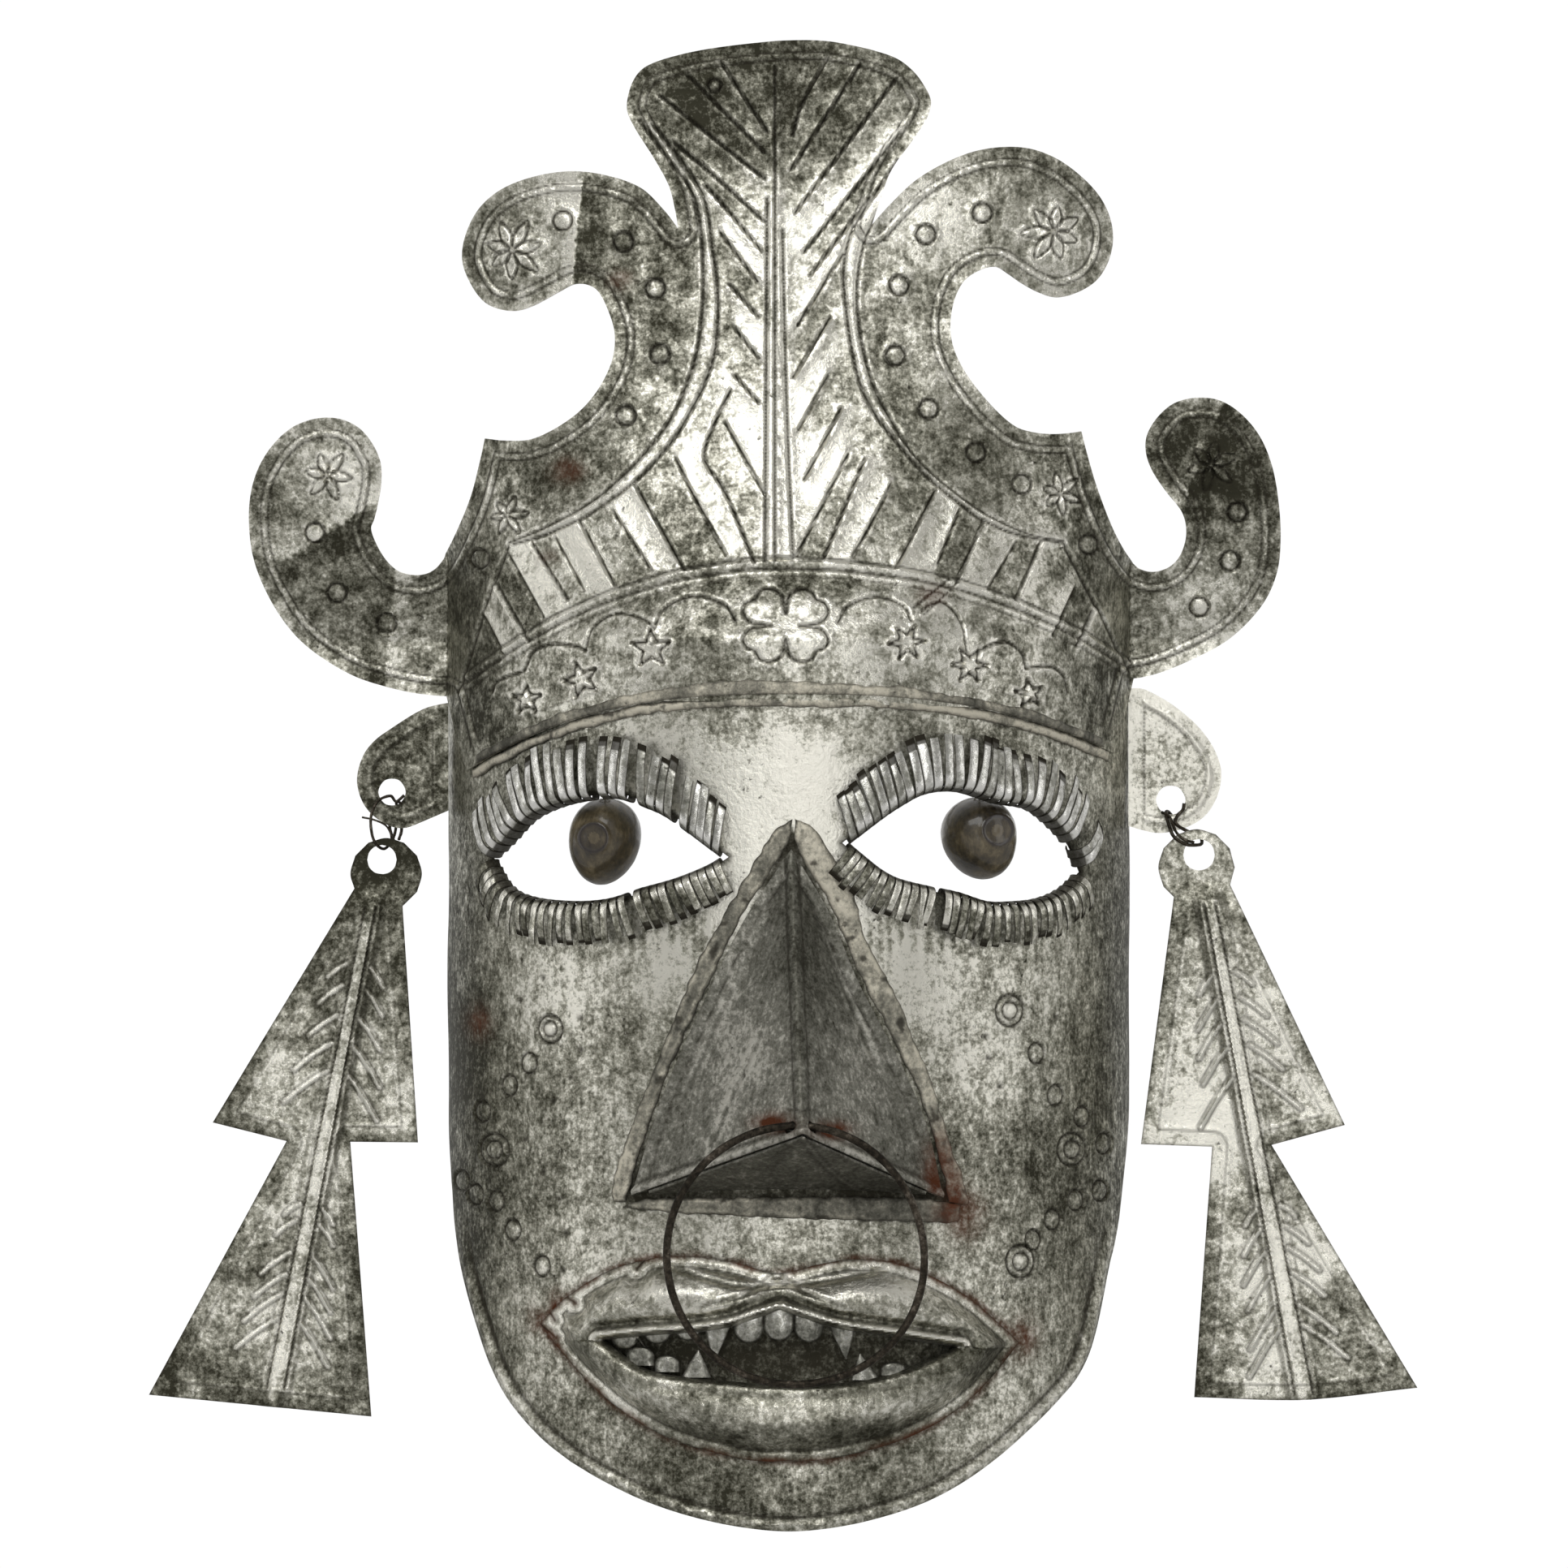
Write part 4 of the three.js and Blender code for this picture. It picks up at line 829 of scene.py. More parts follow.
SCALLOPS = (
    ((-74, 4), (-67, 9.4), (-57.6, 7.5)), ((-57.6, 7.5), (-49, 17.9), (-38.1, 13.4)),
    ((-38.1, 13.4), (-26.7, 22.8), (-15.2, 15.9)), ((13.8, 15.3), (24.6, 22.6), (34.5, 15.9)),
    ((37.4, 18.3), (43.3, 20.9), (50.2, 6.5)), ((53.2, 5.5), (61, 10), (67, 2.5)),
    ((-84, -4), (-79, 0.5), (-74, 4)), ((67, 2.5), (74, 3), (79, -4)),
)
BAND_STARS = (
    (-74.1, -6.3, 4), (-58.7, -0.7, 5), (-38.9, 8, 5.4), (33.3, 9.8, 5), (51, 3.4, 5), (68, -4.6, 4),
)
CROWN_DENTS = ((40, 0.7, 21), (15, 0.22, 23))
# Mostly painted light and shade: the plume lighter in its middle and darker at its top, the wings and the
# band's ends darker where the sheet turns away, with smaller tone changes between.
CROWN_TONE_AND_PAINTED_LIGHT = (
    (-3, 72, 20, 40, 0.55), (-2, 115, 12, 20, 0.3), (0, 174, 48, 24, -0.8), (-4, 155, 16, 12, -0.4),
    (48, 132, 18, 18, 0.4), (-52, 112, 14, 18, -0.1), (122, 64, 16, 12, -1.5), (120, 15, 16, 16, 0.0),
    (-125, 15, 20, 14, -0.1), (-135, 50, 14, 18, 0.15), (-95, 20, 14, 30, -0.5), (93, 15, 12, 30, -0.4),
    (-62, 58, 16, 10, -0.8), (70, 60, 14, 14, -0.5), (0, 8, 60, 12, 0.35), (-58, 88, 12, 22, -0.5),
    (-36, 100, 6, 24, -0.3), (40, 85, 10, 20, 0.1), (-88, -8, 10, 14, -0.4), (90, -4, 8, 14, -0.4),
    (0, 26, 24, 5, -0.5), (-40, 28, 12, 6, 0.2), (30, 45, 8, 10, 0.2),
)
CROWN_RUST = (
    (-62.6, 58.6, 4, 0.7), (-47.7, 112.7, 3, 0.5), (-68, 34, 2.5, 0.3), (40, 23, 4, 0.4),
)


def band_top(x):
    """The z of the bead that tops the headband."""
    left = 33 - 34 * (np.abs(x + 1) / 93) ** 2.1
    right = 33 - 28.2 * (np.abs(x + 1) / 98.2) ** 2.2
    return np.where(x < -1, left, right)


def crown_relief(m, edge):
    x, z = m.x, m.z
    for dents in CROWN_DENTS:
        m.dents(*dents)
    off_band = np.clip((z - band_edge(x) - 4) / 4, 0, 1)
    free = np.where(np.abs(x) > 96, 1, off_band)
    m.border(edge, 4.4, 0.62, 0.6, (3.35, 5.5), free)
    m.height += free * 0.35 * np.clip(1 - edge / 3, 0, 1)
    m.tone += free * 0.2 * bell(edge, 1.2)

    for outer, inner in (RAIL_LEFT, RAIL_RIGHT):
        m.chase(outer, 0.5)
        m.chase(inner, 0.5)
        sides = [smooth_line(line, 0.5) for line in (outer, inner)]
        sides = [line[np.linspace(0, len(line) - 1, 60).astype(int)] for line in sides]
        ids, d, _ = m.near((sides[0] + sides[1]) / 2, 4)
        m.height[ids] += 0.5 * bell(d, 1.3)
        m.tone[ids] += 0.35 * bell(d, 1.2)
    for line in ([(-4, 173.5), (-4, 32.6)], [(-6.2, 136), (-6.8, 32.4)],
                 [(-1.9, 127), (-0.8, 80), (1.1, 33)]):
        m.chase(line, 0.5, 0.4)
    m.height += 1.5 * np.exp(-np.abs(x + 3.4) / 7) * (z > 33)
    for lines, way in ((BARBS_LEFT, 1), (BARBS_RIGHT, -1)):
        for k, line in enumerate(lines):
            m.barb(line, 0.8, 3.2, way if k % 2 else -way, 0.95 if line[-1][1] < 125 else 0.3)
    m.chase([(-79.1, 37.5), (-83.1, 27.6), (-89, 11), (-93.4, -4)], 0.5)
    m.chase([(77.7, 38.1), (83.8, 26.4), (91, 13), (96.6, 2.4)], 0.5)

    across = np.linspace(-91, 96, 60)
    m.bead([(a, band_top(a) - 0.9) for a in across], 0.7, 0.8)
    m.bead([(a, band_top(a) - 3.6) for a in across], 0.35, 0.6, 0.6)
    for cx, cz, r in BAND_STARS:
        m.star(cx, cz, r, 5 + int(abs(cx)) % 2, 0.3 + cx)
    for start, peak, end in SCALLOPS:
        m.chase([start, (start[0] + 0.22 * (peak[0] - start[0]), 0.4 * start[1] + 0.6 * peak[1]), peak,
                 (end[0] + 0.22 * (peak[0] - end[0]), 0.4 * end[1] + 0.6 * peak[1]), end], 0.5, 0.4)
        m.patch((start[0] + end[0]) / 2, (start[1] + peak[1]) / 2, 6, 4, 0.15, height=0.4)
    clover_x, clover_z = -1, 14.5
    leaves = []
    for degrees in range(0, 361, 5):
        angle = math.radians(degrees)
        off = abs((degrees % 90) - 45)
        r = 4 + 9.6 * math.sqrt(max(0, 1 - (off / 45) ** 3)) - 1.5 * math.exp(-((off / 8) ** 2))
        leaves.append((clover_x + r * math.cos(angle), clover_z + 0.86 * r * math.sin(angle)))
    m.chase(leaves, 0.55, 0.42)
    for sx in (-1, 1):
        for sz in (-1, 1):
            m.patch(clover_x + 6.6 * sx, clover_z + 5.4 * sz, 4, 3.5, 0.15, height=0.7)

    for cx, cz in ((-64.2, 129.7), (-47, 123.7), (-38, 110.4), (-36.6, 91.7), (-46.3, 74.2), (54.9, 132),
                   (38.8, 125.8), (31.2, 111.3), (30.1, 91.3), (39.5, 76.1), (53.1, 63.9), (66.2, 54.9),
                   (-135.1, 41.4), (-128.9, 24.3), (-114.8, 15.8), (127.8, 47.1), (125.7, 33.3), (117, 20.2),
                   (-87.9, 33.8), (85.3, 37.9)):
        m.ring(cx, cz, 2.7)
    m.ring(-21.2, 168.1, 1.8)
    for cx, cz, size, turn in ((-78.5, 121.4, 8.2, 0.2), (75.1, 126.7, 8.4, 0.5), (-131.6, 57.9, 7, 0.9),
                               (120.2, 60.9, 7.2, 0.3), (-79.9, 46, 5.4, 0.1), (77, 52.2, 5.8, 0.7)):
        m.petals(cx, cz, size, 7 if size > 8 else 6, turn)
    m.chase([(35, 19.5), (45, 27.5)], 0.3, 0.35, 0.95)
    m.chase([(38, 17.5), (47.5, 26.5)], 0.2, 0.3, 0.8)

    for area in CROWN_TONE_AND_PAINTED_LIGHT:
        m.patch(*area)
    for cx, cz, r, rust in CROWN_RUST:
        m.patch(cx, cz, r, r * 0.8, 0, 0.35, rust)
    # Soft folds raised in the sheet, with painted light on one side of each and painted shade on the other.
    for line, strength in (([(-58.5, 140), (-60, 128), (-61, 112)], -1.0),
                           ([(-144.3, 33.3), (-121.3, 48.3)], 0.5),
                           ([(-112.1, 31), (-115.5, -1.2)], 0.5),
                           ([(123.7, 78.2), (112.2, 49.4)], -0.6)):
        ids, d, side = m.near(smooth_line(line), 16)
        m.height[ids] += 0.9 * np.exp(-d / 5)
        m.tone[ids] += strength * side * np.exp(-d / 9)


crown_rings = [smooth_loop(loop) for loop in front_loops("crown_sheet")]
crown = sheet("crown", crown_rings, crown_y, crown_relief, thickness=0.6, spacing=1.35, fine=0.6, seed=2,
              **ROUND_CROWN)
dress(crown, crown_tin, "mask", "embossed_tin", "crown_sheet")


# ---------------------------------------------------------------- solder
def ragged(ring, amount, size, seed):
    """The ring pushed in and out a little, as solder flows."""
    run = np.roll(ring, -1, 0) - np.roll(ring, 1, 0)
    normal = np.column_stack([run[:, 1], -run[:, 0]])
    normal /= np.maximum(np.linalg.norm(normal, axis=1), 1e-9)[:, None]
    return ring + normal * (amount * wobble(ring[:, 0], ring[:, 1], size, seed))[:, None]


SOLDER_OUT = 0.7


def solder_strip(node, name, seed, tone):
    """A lumpy strip of solder with pinholes, rusty where it nears the nose's right foot."""
    rings = [ragged(smooth_loop(loop, 0.5, 60), 0.6, 3.0, seed) for loop in front_loops(node)[:1]]

    def lumps(m, edge):
        m.height += 0.75 * (1 - np.exp(-edge / 0.8)) + 0.28 * wobble(m.x, m.z, 4.5, seed)
        m.height += 0.12 * wobble(m.x, m.z, 1.6, seed + 1)
        m.darken(0.75 * bell(edge, 0.3))
        # Each strip's tone is painted light and shade: lighter on the brow and the nose's right, darker on
        # its left and darkest under it; a painted highlight runs just inside the strip's edge.
        m.tone += tone + 0.7 * bell(edge - 0.9, 0.5) * (wobble(m.x, m.z, 9, seed + 2) + 0.3)
        if node == "nose_seam_right":
            m.patch(46, -147, 5, 9, 0, 0.2, 1.0)
            m.patch(43, -134, 3, 6, 0, 0.1, 0.7)
        if node == "nose_seam_bottom":
            m.patch(46, -151, 5, 4, 0, 0.2, 1.0)
        holes = wobble(m.x, m.z, 3.0, seed + 5)
        m.darken(0.8 * np.clip((holes - 0.42) * 12, 0, 1))

    piece = sheet(name, rings, lambda x, z: shell_y(x, SOLDER_OUT), lumps,
                  thickness=0.5, spacing=0.7, seed=seed, **ROUND_FACE)
    dress(piece, solder, "mask", "solder", node)


def band_solder():
    """Solder that has run up over the headband's lower edge."""
    across = np.linspace(-88, 89, 240)
    reach = 2.6 + 1.1 * wobble(across, across * 0, 12, 3) + 0.7 * wobble(across, across * 0, 3, 4)
    reach += 1.6 * bell(across + 12, 26)
    lower = np.column_stack([across, band_edge(across) + 0.1])
    upper = np.column_stack([across, band_edge(across) + np.maximum(reach, 0.9)])

    def lumps(m, edge):
        for dents in CROWN_DENTS:
            m.dents(*dents)
        m.height += 0.4 + 0.5 * (1 - np.exp(-edge / 0.6)) + 0.2 * wobble(m.x, m.z, 3.5, 9)
        # Lighter in the middle and darker towards the sides, as painted light and shade, with random tone.
        m.tone += 0.5 * wobble(m.x, m.z, 7, 8) + 0.3 - 0.6 * np.clip((np.abs(m.x) - 30) / 40, 0, 1)
        m.darken(0.6 * bell(edge, 0.35))

    ring = np.vstack([lower, upper[::-1]])
    piece = sheet("band_solder", [ring], crown_y, lumps, thickness=0.3, spacing=0.6, seed=39, **ROUND_CROWN)
    dress(piece, solder, "mask", "solder")


band_solder()
solder_strip("forehead_seam", "brow_solder", 31, 0.35)
solder_strip("nose_seam_left", "nose_solder_left", 33, -0.05)
solder_strip("nose_seam_right", "nose_solder_right", 35, 0.25)
solder_strip("nose_seam_bottom", "nose_solder_bottom", 37, -0.3)


# ---------------------------------------------------------------- nose
def ridge_x(z):
    """The x of the nose's ridge."""
    return NOSE_TOP[0] + (z - NOSE_TOP[2]) / (NOSE_TIP[2] - NOSE_TOP[2]) * (NOSE_TIP[0] - NOSE_TOP[0])


def nose_y(x, z):
    """The nose's two slopes, rounded where they meet, down to just above the face."""
    left, right = nose_left(x, z), nose_right(x, z)
    tent = (left + right + np.sqrt((left - right) ** 2 + 1.4)) / 2
    return np.minimum(tent, shell_y(x, 1.3))


def lower_z(x):
    """The nose's lower edges, from its tip to its feet."""
    tip_x, _, tip_z = NOSE_TIP
    left, right = (
        tip_z + (x - tip_x) / (foot_x - tip_x) * (foot_z - tip_z)
        for foot_x, _, foot_z in (NOSE_FOOT_LEFT, NOSE_FOOT_RIGHT)
    )
    return np.where(x < tip_x, left, right)


def back_z(x):
    """The edge where the nose's underside meets the face."""
    return -146.6 + 2.2 * (1 - (x / 44) ** 2)


def nose_relief(m, edge):
    x, z = m.x, m.z
    m.dents(22, 0.35, 41)
    across = np.abs(x - ridge_x(z))
    m.busy |= across < 3
    m.height += 0.55 * (1 - np.tanh((across - 1.6) / 0.35)) / 2
    # A dark line each side of the ridge and a darker ridge: painted shade along the fold.
    m.darken(0.7 * bell(across - 2.0, 0.35))
    m.tone -= 0.2 * (across < 1.6)
    m.height -= 0.35 * bell(edge - 3.1, 0.4)
    m.darken(0.55 * bell(edge - 3.1, 0.35))
    above = z - lower_z(x)
    # The rolled lower edge carries a painted highlight, and a dark line runs above it.
    m.height += 0.8 * bell(above - 1.1, 0.9)
    m.tone += 0.5 * bell(above - 1.1, 0.9)
    m.darken(0.8 * bell(above - 2.9, 0.35) * (across > 1.6))
    for start, end in (((-30, -120), (-16, -88)), ((-22, -132), (-8, -100)), ((12, -80), (24, -108))):
        m.chase([start, end], 0.15, 0.5, 0.25)
    # Patches with a tone are painted light and shade on the nose's slopes; those without are rust by the
    # ring's holes and the right foot.
    for area in ((-12, -95, 14, 16, 0.25), (17, -105, 12, 24, 0.35), (2, -70, 10, 20, -0.3),
                 (-24, -128, 14, 10, 0.1), (-4.5, -125.5, 5, 2.6, 0, 0.2, 1.2),
                 (12, -127.5, 5, 2.4, 0, 0.2, 1.2), (41, -141, 3, 9, 0, 0, 1.0),
                 (8, -85, 8, 26, -0.35), (-16, -112, 12, 12, 0.3)):
        m.patch(*area)


nose_rings = [smooth_loop(loop, 0.7, 30) for loop in front_loops("nose_bridge")]
nose = sheet("nose", nose_rings, nose_y, nose_relief, thickness=0.8, spacing=0.8, fine=0.4, seed=3)
dress(nose, nose_tin, "mask", "tin", "nose_bridge")


def grid_object(name, rows, thickness, values):
    """A sheet through rows of points, given as an array [row, column, xyz] in millimetres."""
    count, width = rows.shape[:2]
    ids = np.arange(count * width).reshape(count, width)
    quads = np.stack([ids[:-1, :-1], ids[:-1, 1:], ids[1:, 1:], ids[1:, :-1]], -1).reshape(-1, 4)
    points = rows.reshape(-1, 3)
    faces = split_quads(quads)
    normals = vertex_normals(points, faces)
    if normals[:, 1].mean() > 0:
        quads, faces, normals = quads[:, ::-1], faces[:, ::-1], -normals
    doubled = {key: np.concatenate([data, data * 0.4]) for key, data in values.items()}
    return make_object(name, *thickened(points, points - normals * thickness, quads, faces), doubled)


xs = np.linspace(-39.5, 38.5, 90)
share = np.linspace(0, 1, 26)[:, None]
top = lower_z(xs) - 1.3
base_z = back_z(xs) + (top - back_z(xs)) * share
front_y = nose_y(xs, top + 1.3)
base_y = shell_y(xs, 1.7) + (front_y - shell_y(xs, 1.7)) * share
fold = np.abs(xs - (4 + 15.5 * (1 - share)))
base_y = base_y - 0.9 * bell(fold, 1.3) * (share > 0.02)
rows = np.stack([np.broadcast_to(xs, base_z.shape), base_y, base_z], -1)
# Painted shade: the underside, which faces down, is darkened all over and more along its fold.
dark = np.clip(0.3 + 0.5 * np.exp(-((fold - 1.6) ** 2) / 0.5), 0, 1).ravel()
values = {"tone": np.full(dark.size, -0.2), "soil": dark, "rust": dark * 0}
base = grid_object("nose_underside", rows, 0.8, values)
dress(base, nose_tin, "mask", "tin", "nose_base")


# ---------------------------------------------------------------- mouth and teeth
def mouth_relief(m, edge):
    x, z = m.x, m.z
    to_rim = distance_to([mouth_rings[0]], x, z)
    to_gap = distance_to([mouth_rings[1]], x, z)
    share = to_rim / (to_rim + to_gap)
    rise = np.clip((to_rim - 2.4) / 9, 0, 1)
    body = 7.2 * np.sin(np.pi / 2 * rise) ** 1.2
    body *= 1 - 0.28 * np.clip((share - 0.55) / 0.45, 0, 1) ** 2
    upper = z > -188.3 - MOUTH_SLOPE * (x + 2.5)
    hem = bell(to_gap - 1.7, 1.25)
    valley = bell(to_gap - 4.0, 1.3)
    m.height += body + np.where(upper, 1.4 * hem - 1.5 * valley, 0.15 * hem - 0.2 * valley)
    m.height -= 1.8 * np.clip(1 - to_gap / 1.2, 0, 1)
    m.height += 0.4 * bell(to_rim - 1.9, 0.6)
    m.darken(0.9 * bell(to_rim, 0.5))
    m.rust = np.clip(0.9 * bell(to_rim, 1.3) * (wobble(x, z, 8, 57) + 0.35), 0, 1)
    m.darken(0.75 * bell(to_rim - 3.1, 0.35))
    m.darken(np.where(upper, 0.7, 0.1) * bell(to_gap - 3.1, 0.5))
    m.darken(0.6 * bell(to_gap, 0.5))
    # A painted highlight on the upper lip's hem and painted shade in the valley behind it; the lower lip's
    # are faint.
    m.tone += np.where(upper, 0.9, 0.1) * hem - np.where(upper, 0.5, 0.1) * valley
    m.tone += 0.3 * bell(to_rim - 1.8, 0.8)
    for line in ([(-33, -166.5), (-15, -171.5), (-4, -171.5), (8, -170.5), (27, -167)],
                 [(-4, -168.5), (-12, -174), (-24, -178)], [(-3, -168.5), (4, -173), (14, -177.5)]):
        m.chase(line, 0.5, 0.6, 0.35)
    m.dents(14, 0.3, 51)
    m.dents(6, 0.12, 53)
    # Painted light and shade: the upper lip is set lighter and the lower darker.
    m.tone += np.where(upper, 0.15, -0.25)
    # Mostly painted highlight bands along the lips' bulges and painted shade in the creases.
    for area in ((20, -171, 14, 3.6, 1.2), (-32, -174, 16, 3.6, 0.9), (-20, -208, 26, 3, 0.4),
                 (18, -206, 22, 3, 0.4), (-36, -201, 12, 4, 0.5), (46, -203, 9, 4, 0.5),
                 (22, -214, 12, 3, -0.6), (-20, -176, 20, 2.4, -0.5), (-52, -181, 10, 6, 0.1)):
        m.patch(*area)


lips = sheet("lips", mouth_rings, lambda x, z: shell_y(x, 1.1), mouth_relief,
             thickness=0.6, spacing=0.6, seed=4)
dress(lips, lip_tin, "mask", "tin", "mouth_plate")


def tooth(x, root, tip, half, lean):
    """Rows of a bulging tooth, root to tip; lean is a fang's sideways lean, or None for a blunt tooth."""
    across = np.linspace(-1, 1, 12)
    rows = []
    for t in np.linspace(0, 1, 16):
        if lean is None:
            reach = half * math.sqrt(max(0, 1 - max(0, (t - 0.45) / 0.55) ** 2))
        else:
            reach = half * (1 - t) ** 0.85
        xs = x + (lean or 0) * t + reach * across
        z = root + (tip - root) * t
        bulge = 1.5 * np.sqrt(np.clip(1 - across**2, 0, 1)) * (reach / half) ** 0.7
        rows.append(np.column_stack([xs, shell_y(xs, 3.4) - bulge, np.full(len(xs), z)]))
    return np.array(rows)


def teeth(name, node, places, root_at):
    """A row of teeth; each place is x, half-width, the tip's z and a fang's lean."""
    made = []
    for x, half, tip, lean in places:
        rows = tooth(x, root_at(x), tip, half, lean)
        # Painted shade darkens each tooth along its sides.
        outline = np.tile(np.abs(np.linspace(-1, 1, rows.shape[1])) > 0.9, rows.shape[0])
        values = {"tone": np.full(outline.size, -0.35), "soil": 0.7 * outline}
        made.append(grid_object("tooth", rows, 0.5, values))
    row = joined(made)
    row.name = name
    dress(row, bright_tin, "mask", "bright_tin", node)


teeth("upper_teeth", "teeth_upper", [
    (-46.5, 4, -189.9, None), (-37.2, 4, -188.2, None), (-28.6, 3.7, -187.2, None), (-20, 5, -192.6, -1),
    (-11.4, 4.2, -187.9, None), (-2.9, 4.3, -187.2, None), (5.6, 4.2, -187.7, None), (14.6, 5, -192.4, 1.4)],
    lambda x: -178.4 - 0.0021 * (x + 3) ** 2)
teeth("lower_teeth", "teeth_lower", [
    (-42, 4, -188.9, None), (-34.4, 3.5, -191.2, None), (-26.2, 4.2, -189.8, 0.6), (21.6, 4, -190.8, -1.6),
    (29.4, 3.6, -193.2, None)], lambda x: -199.6 + 0.003 * x**2)


# ---------------------------------------------------------------- eyelashes
STRIP_THICKNESS = 0.32
STRIP_COLUMNS = (-1, -0.76, 0, 0.76, 1)


def lid_lines(ring):
    """The upper and lower lids of an eye hole, each running from the left corner to the right."""
    left, right = ring[:, 0].argmin(), ring[:, 0].argmax()
    ring = np.roll(ring, -left, 0)
    right = (right - left) % len(ring)
    one, two = ring[: right + 1], np.vstack([ring[right:], ring[:1]])[::-1]
    return (one, two) if one[:, 1].mean() > two[:, 1].mean() else (two, one)


def unit(vector):
    return vector / np.linalg.norm(vector)


def steps(line):
    """The length of each step of the line."""
    return np.hypot(*np.diff(line, axis=0).T)


def along(line, t):
    """The point at share t of the line's length, and the line's direction there."""
    gone = np.concatenate([[0], np.cumsum(steps(line))])
    at = t * gone[-1]
    behind, here, ahead = (
        np.array([np.interp(place, gone, line[:, k]) for k in (0, 1)])
        for place in (max(0, at - 1.5), at, min(gone[-1], at + 1.5))
    )
    return *here, unit(ahead - behind)


def lash_row(name, node, line, up, count, length, lift, seed, material, lean, upright, gaps):
    """A fringe of strips cut from one band and rolled out over the lid.

    up is 1 on an upper lid and -1 on a lower one. The strips point along lean as far as upright is near 1,
    and straight out from the lid otherwise. gaps are the shares of the lid that have lost their strips.
    """
    chance = np.random.default_rng(seed)
    points, faces, tones, painted_strip_shade = [], [], [], []
    for k in range(count):
        t = 0.02 + 0.95 * (k + 0.5) / count
        if any(low < t < high for low, high in gaps):
            continue
        x, z, run = along(line, t)
        outward = unit((1 - upright) * np.array([-run[1], run[0]]) * up + upright * np.array(lean))
        n = unit(np.array([x / HALF_WIDTH**2, shell_y(x) / DEPTH**2, 0]))
        level = np.array([-n[1], n[0], 0])
        tangent = unit(level * run[0] + np.array([0, 0, run[1]]))
        away = unit(level * outward[0] + np.array([0, 0, outward[1]]))
        root = np.array([x, shell_y(x), z])
        span = length(t) * chance.uniform(0.9, 1.06)
        sway = chance.normal(0, 0.05) + 0.08 * math.sin(7 * t + seed)
        rise = lift * chance.uniform(0.9, 1.1)
        tip = rise * chance.uniform(0.45, 0.9)
        profile = smooth_line([(0.5, -1.7), (-0.95, -0.9), (-1.25, 0.6), (-0.7, rise * 0.62),
                               (1.2, rise * 0.97), (span * 0.4, rise),
                               (span * 0.72, (rise + tip) / 2 + 0.3), (span, tip)], 0.5)
        half = chance.uniform(0.9, 1.0) * (0.48 * steps(line).sum() / count)
        twist = chance.normal(0, 0.09)
        shade = chance.uniform(-0.25, 0.35)
        first = len(points)
        for s, h in profile:
            reach = max(0.0, s - 0.5)
            centre = root + away * s + n * h + tangent * reach * sway
            side = tangent + n * twist * min(1, reach / 6)
            for a in STRIP_COLUMNS:
                points.append(centre + side * half * a - n * 0.12 * (abs(a) == 1))
                glint = math.exp(-(((s - 1.6) / 1.2) ** 2)) * (h > rise * 0.8) * (k % 3 > 0)
                tones.append(shade + 1.2 * glint)
                # Painted shade darkens each strip's edges and the band at its root, and its tip a little.
                painted_strip_shade.append(1.0 if abs(a) == 1 else 0.8 * (h < rise * 0.75) + 0.2 * (s > span * 0.9))
        wide = len(STRIP_COLUMNS)
        for i in range(len(profile) - 1):
            for j in range(wide - 1):
                a = first + i * wide + j
                faces.append((a, a + 1, a + wide + 1, a + wide))
    points = np.array(points)
    faces = np.array(faces)
    triangles = split_quads(faces)
    back = points + vertex_normals(points, triangles) * STRIP_THICKNESS
    values = {"tone": tones * 2, "soil": painted_strip_shade * 2}
    made = make_object(name, *thickened(points, back, faces, triangles), values, sharp=30)
    face_outwards(made)
    dress(made, material, "mask", "bright_tin", node)


eye_rings = sorted(face_rings[1:3], key=lambda r: r[:, 0].mean())
upper_left, lower_left = lid_lines(eye_rings[0])
upper_right, lower_right = lid_lines(eye_rings[1])


def lash_length(ends, middle):
    """The length of a strip at share t of the lid."""
    return lambda t: ends + (middle - ends) * math.sin(math.pi * t)


lash_row("lashes_over_left_eye", "lashes_upper_left", upper_left, 1, 28, lash_length(13, 16),
         lift=5.4, seed=61, material=bright_tin, lean=(-0.2, 1), upright=0.55,
         gaps=((0.45, 0.48), (0.59, 0.62), (0.77, 0.8)))
lash_row("lashes_over_right_eye", "lashes_upper_right", upper_right, 1, 29, lash_length(12, 15),
         lift=5.4, seed=63, material=bright_tin, lean=(0.05, 1), upright=0.35, gaps=((0.88, 0.92),))
lash_row("lashes_under_left_eye", "lashes_lower_left", lower_left, -1, 31, lash_length(9.5, 11.5),
         lift=4.6, seed=65, material=dull_strips, lean=(0.15, -1), upright=0.25, gaps=((0.61, 0.64),))
lash_row("lashes_under_right_eye", "lashes_lower_right", lower_right, -1, 31, lash_length(9.5, 11.5),
         lift=4.6, seed=67, material=dull_strips, lean=(0, -1), upright=0.2, gaps=((0.38, 0.41),))


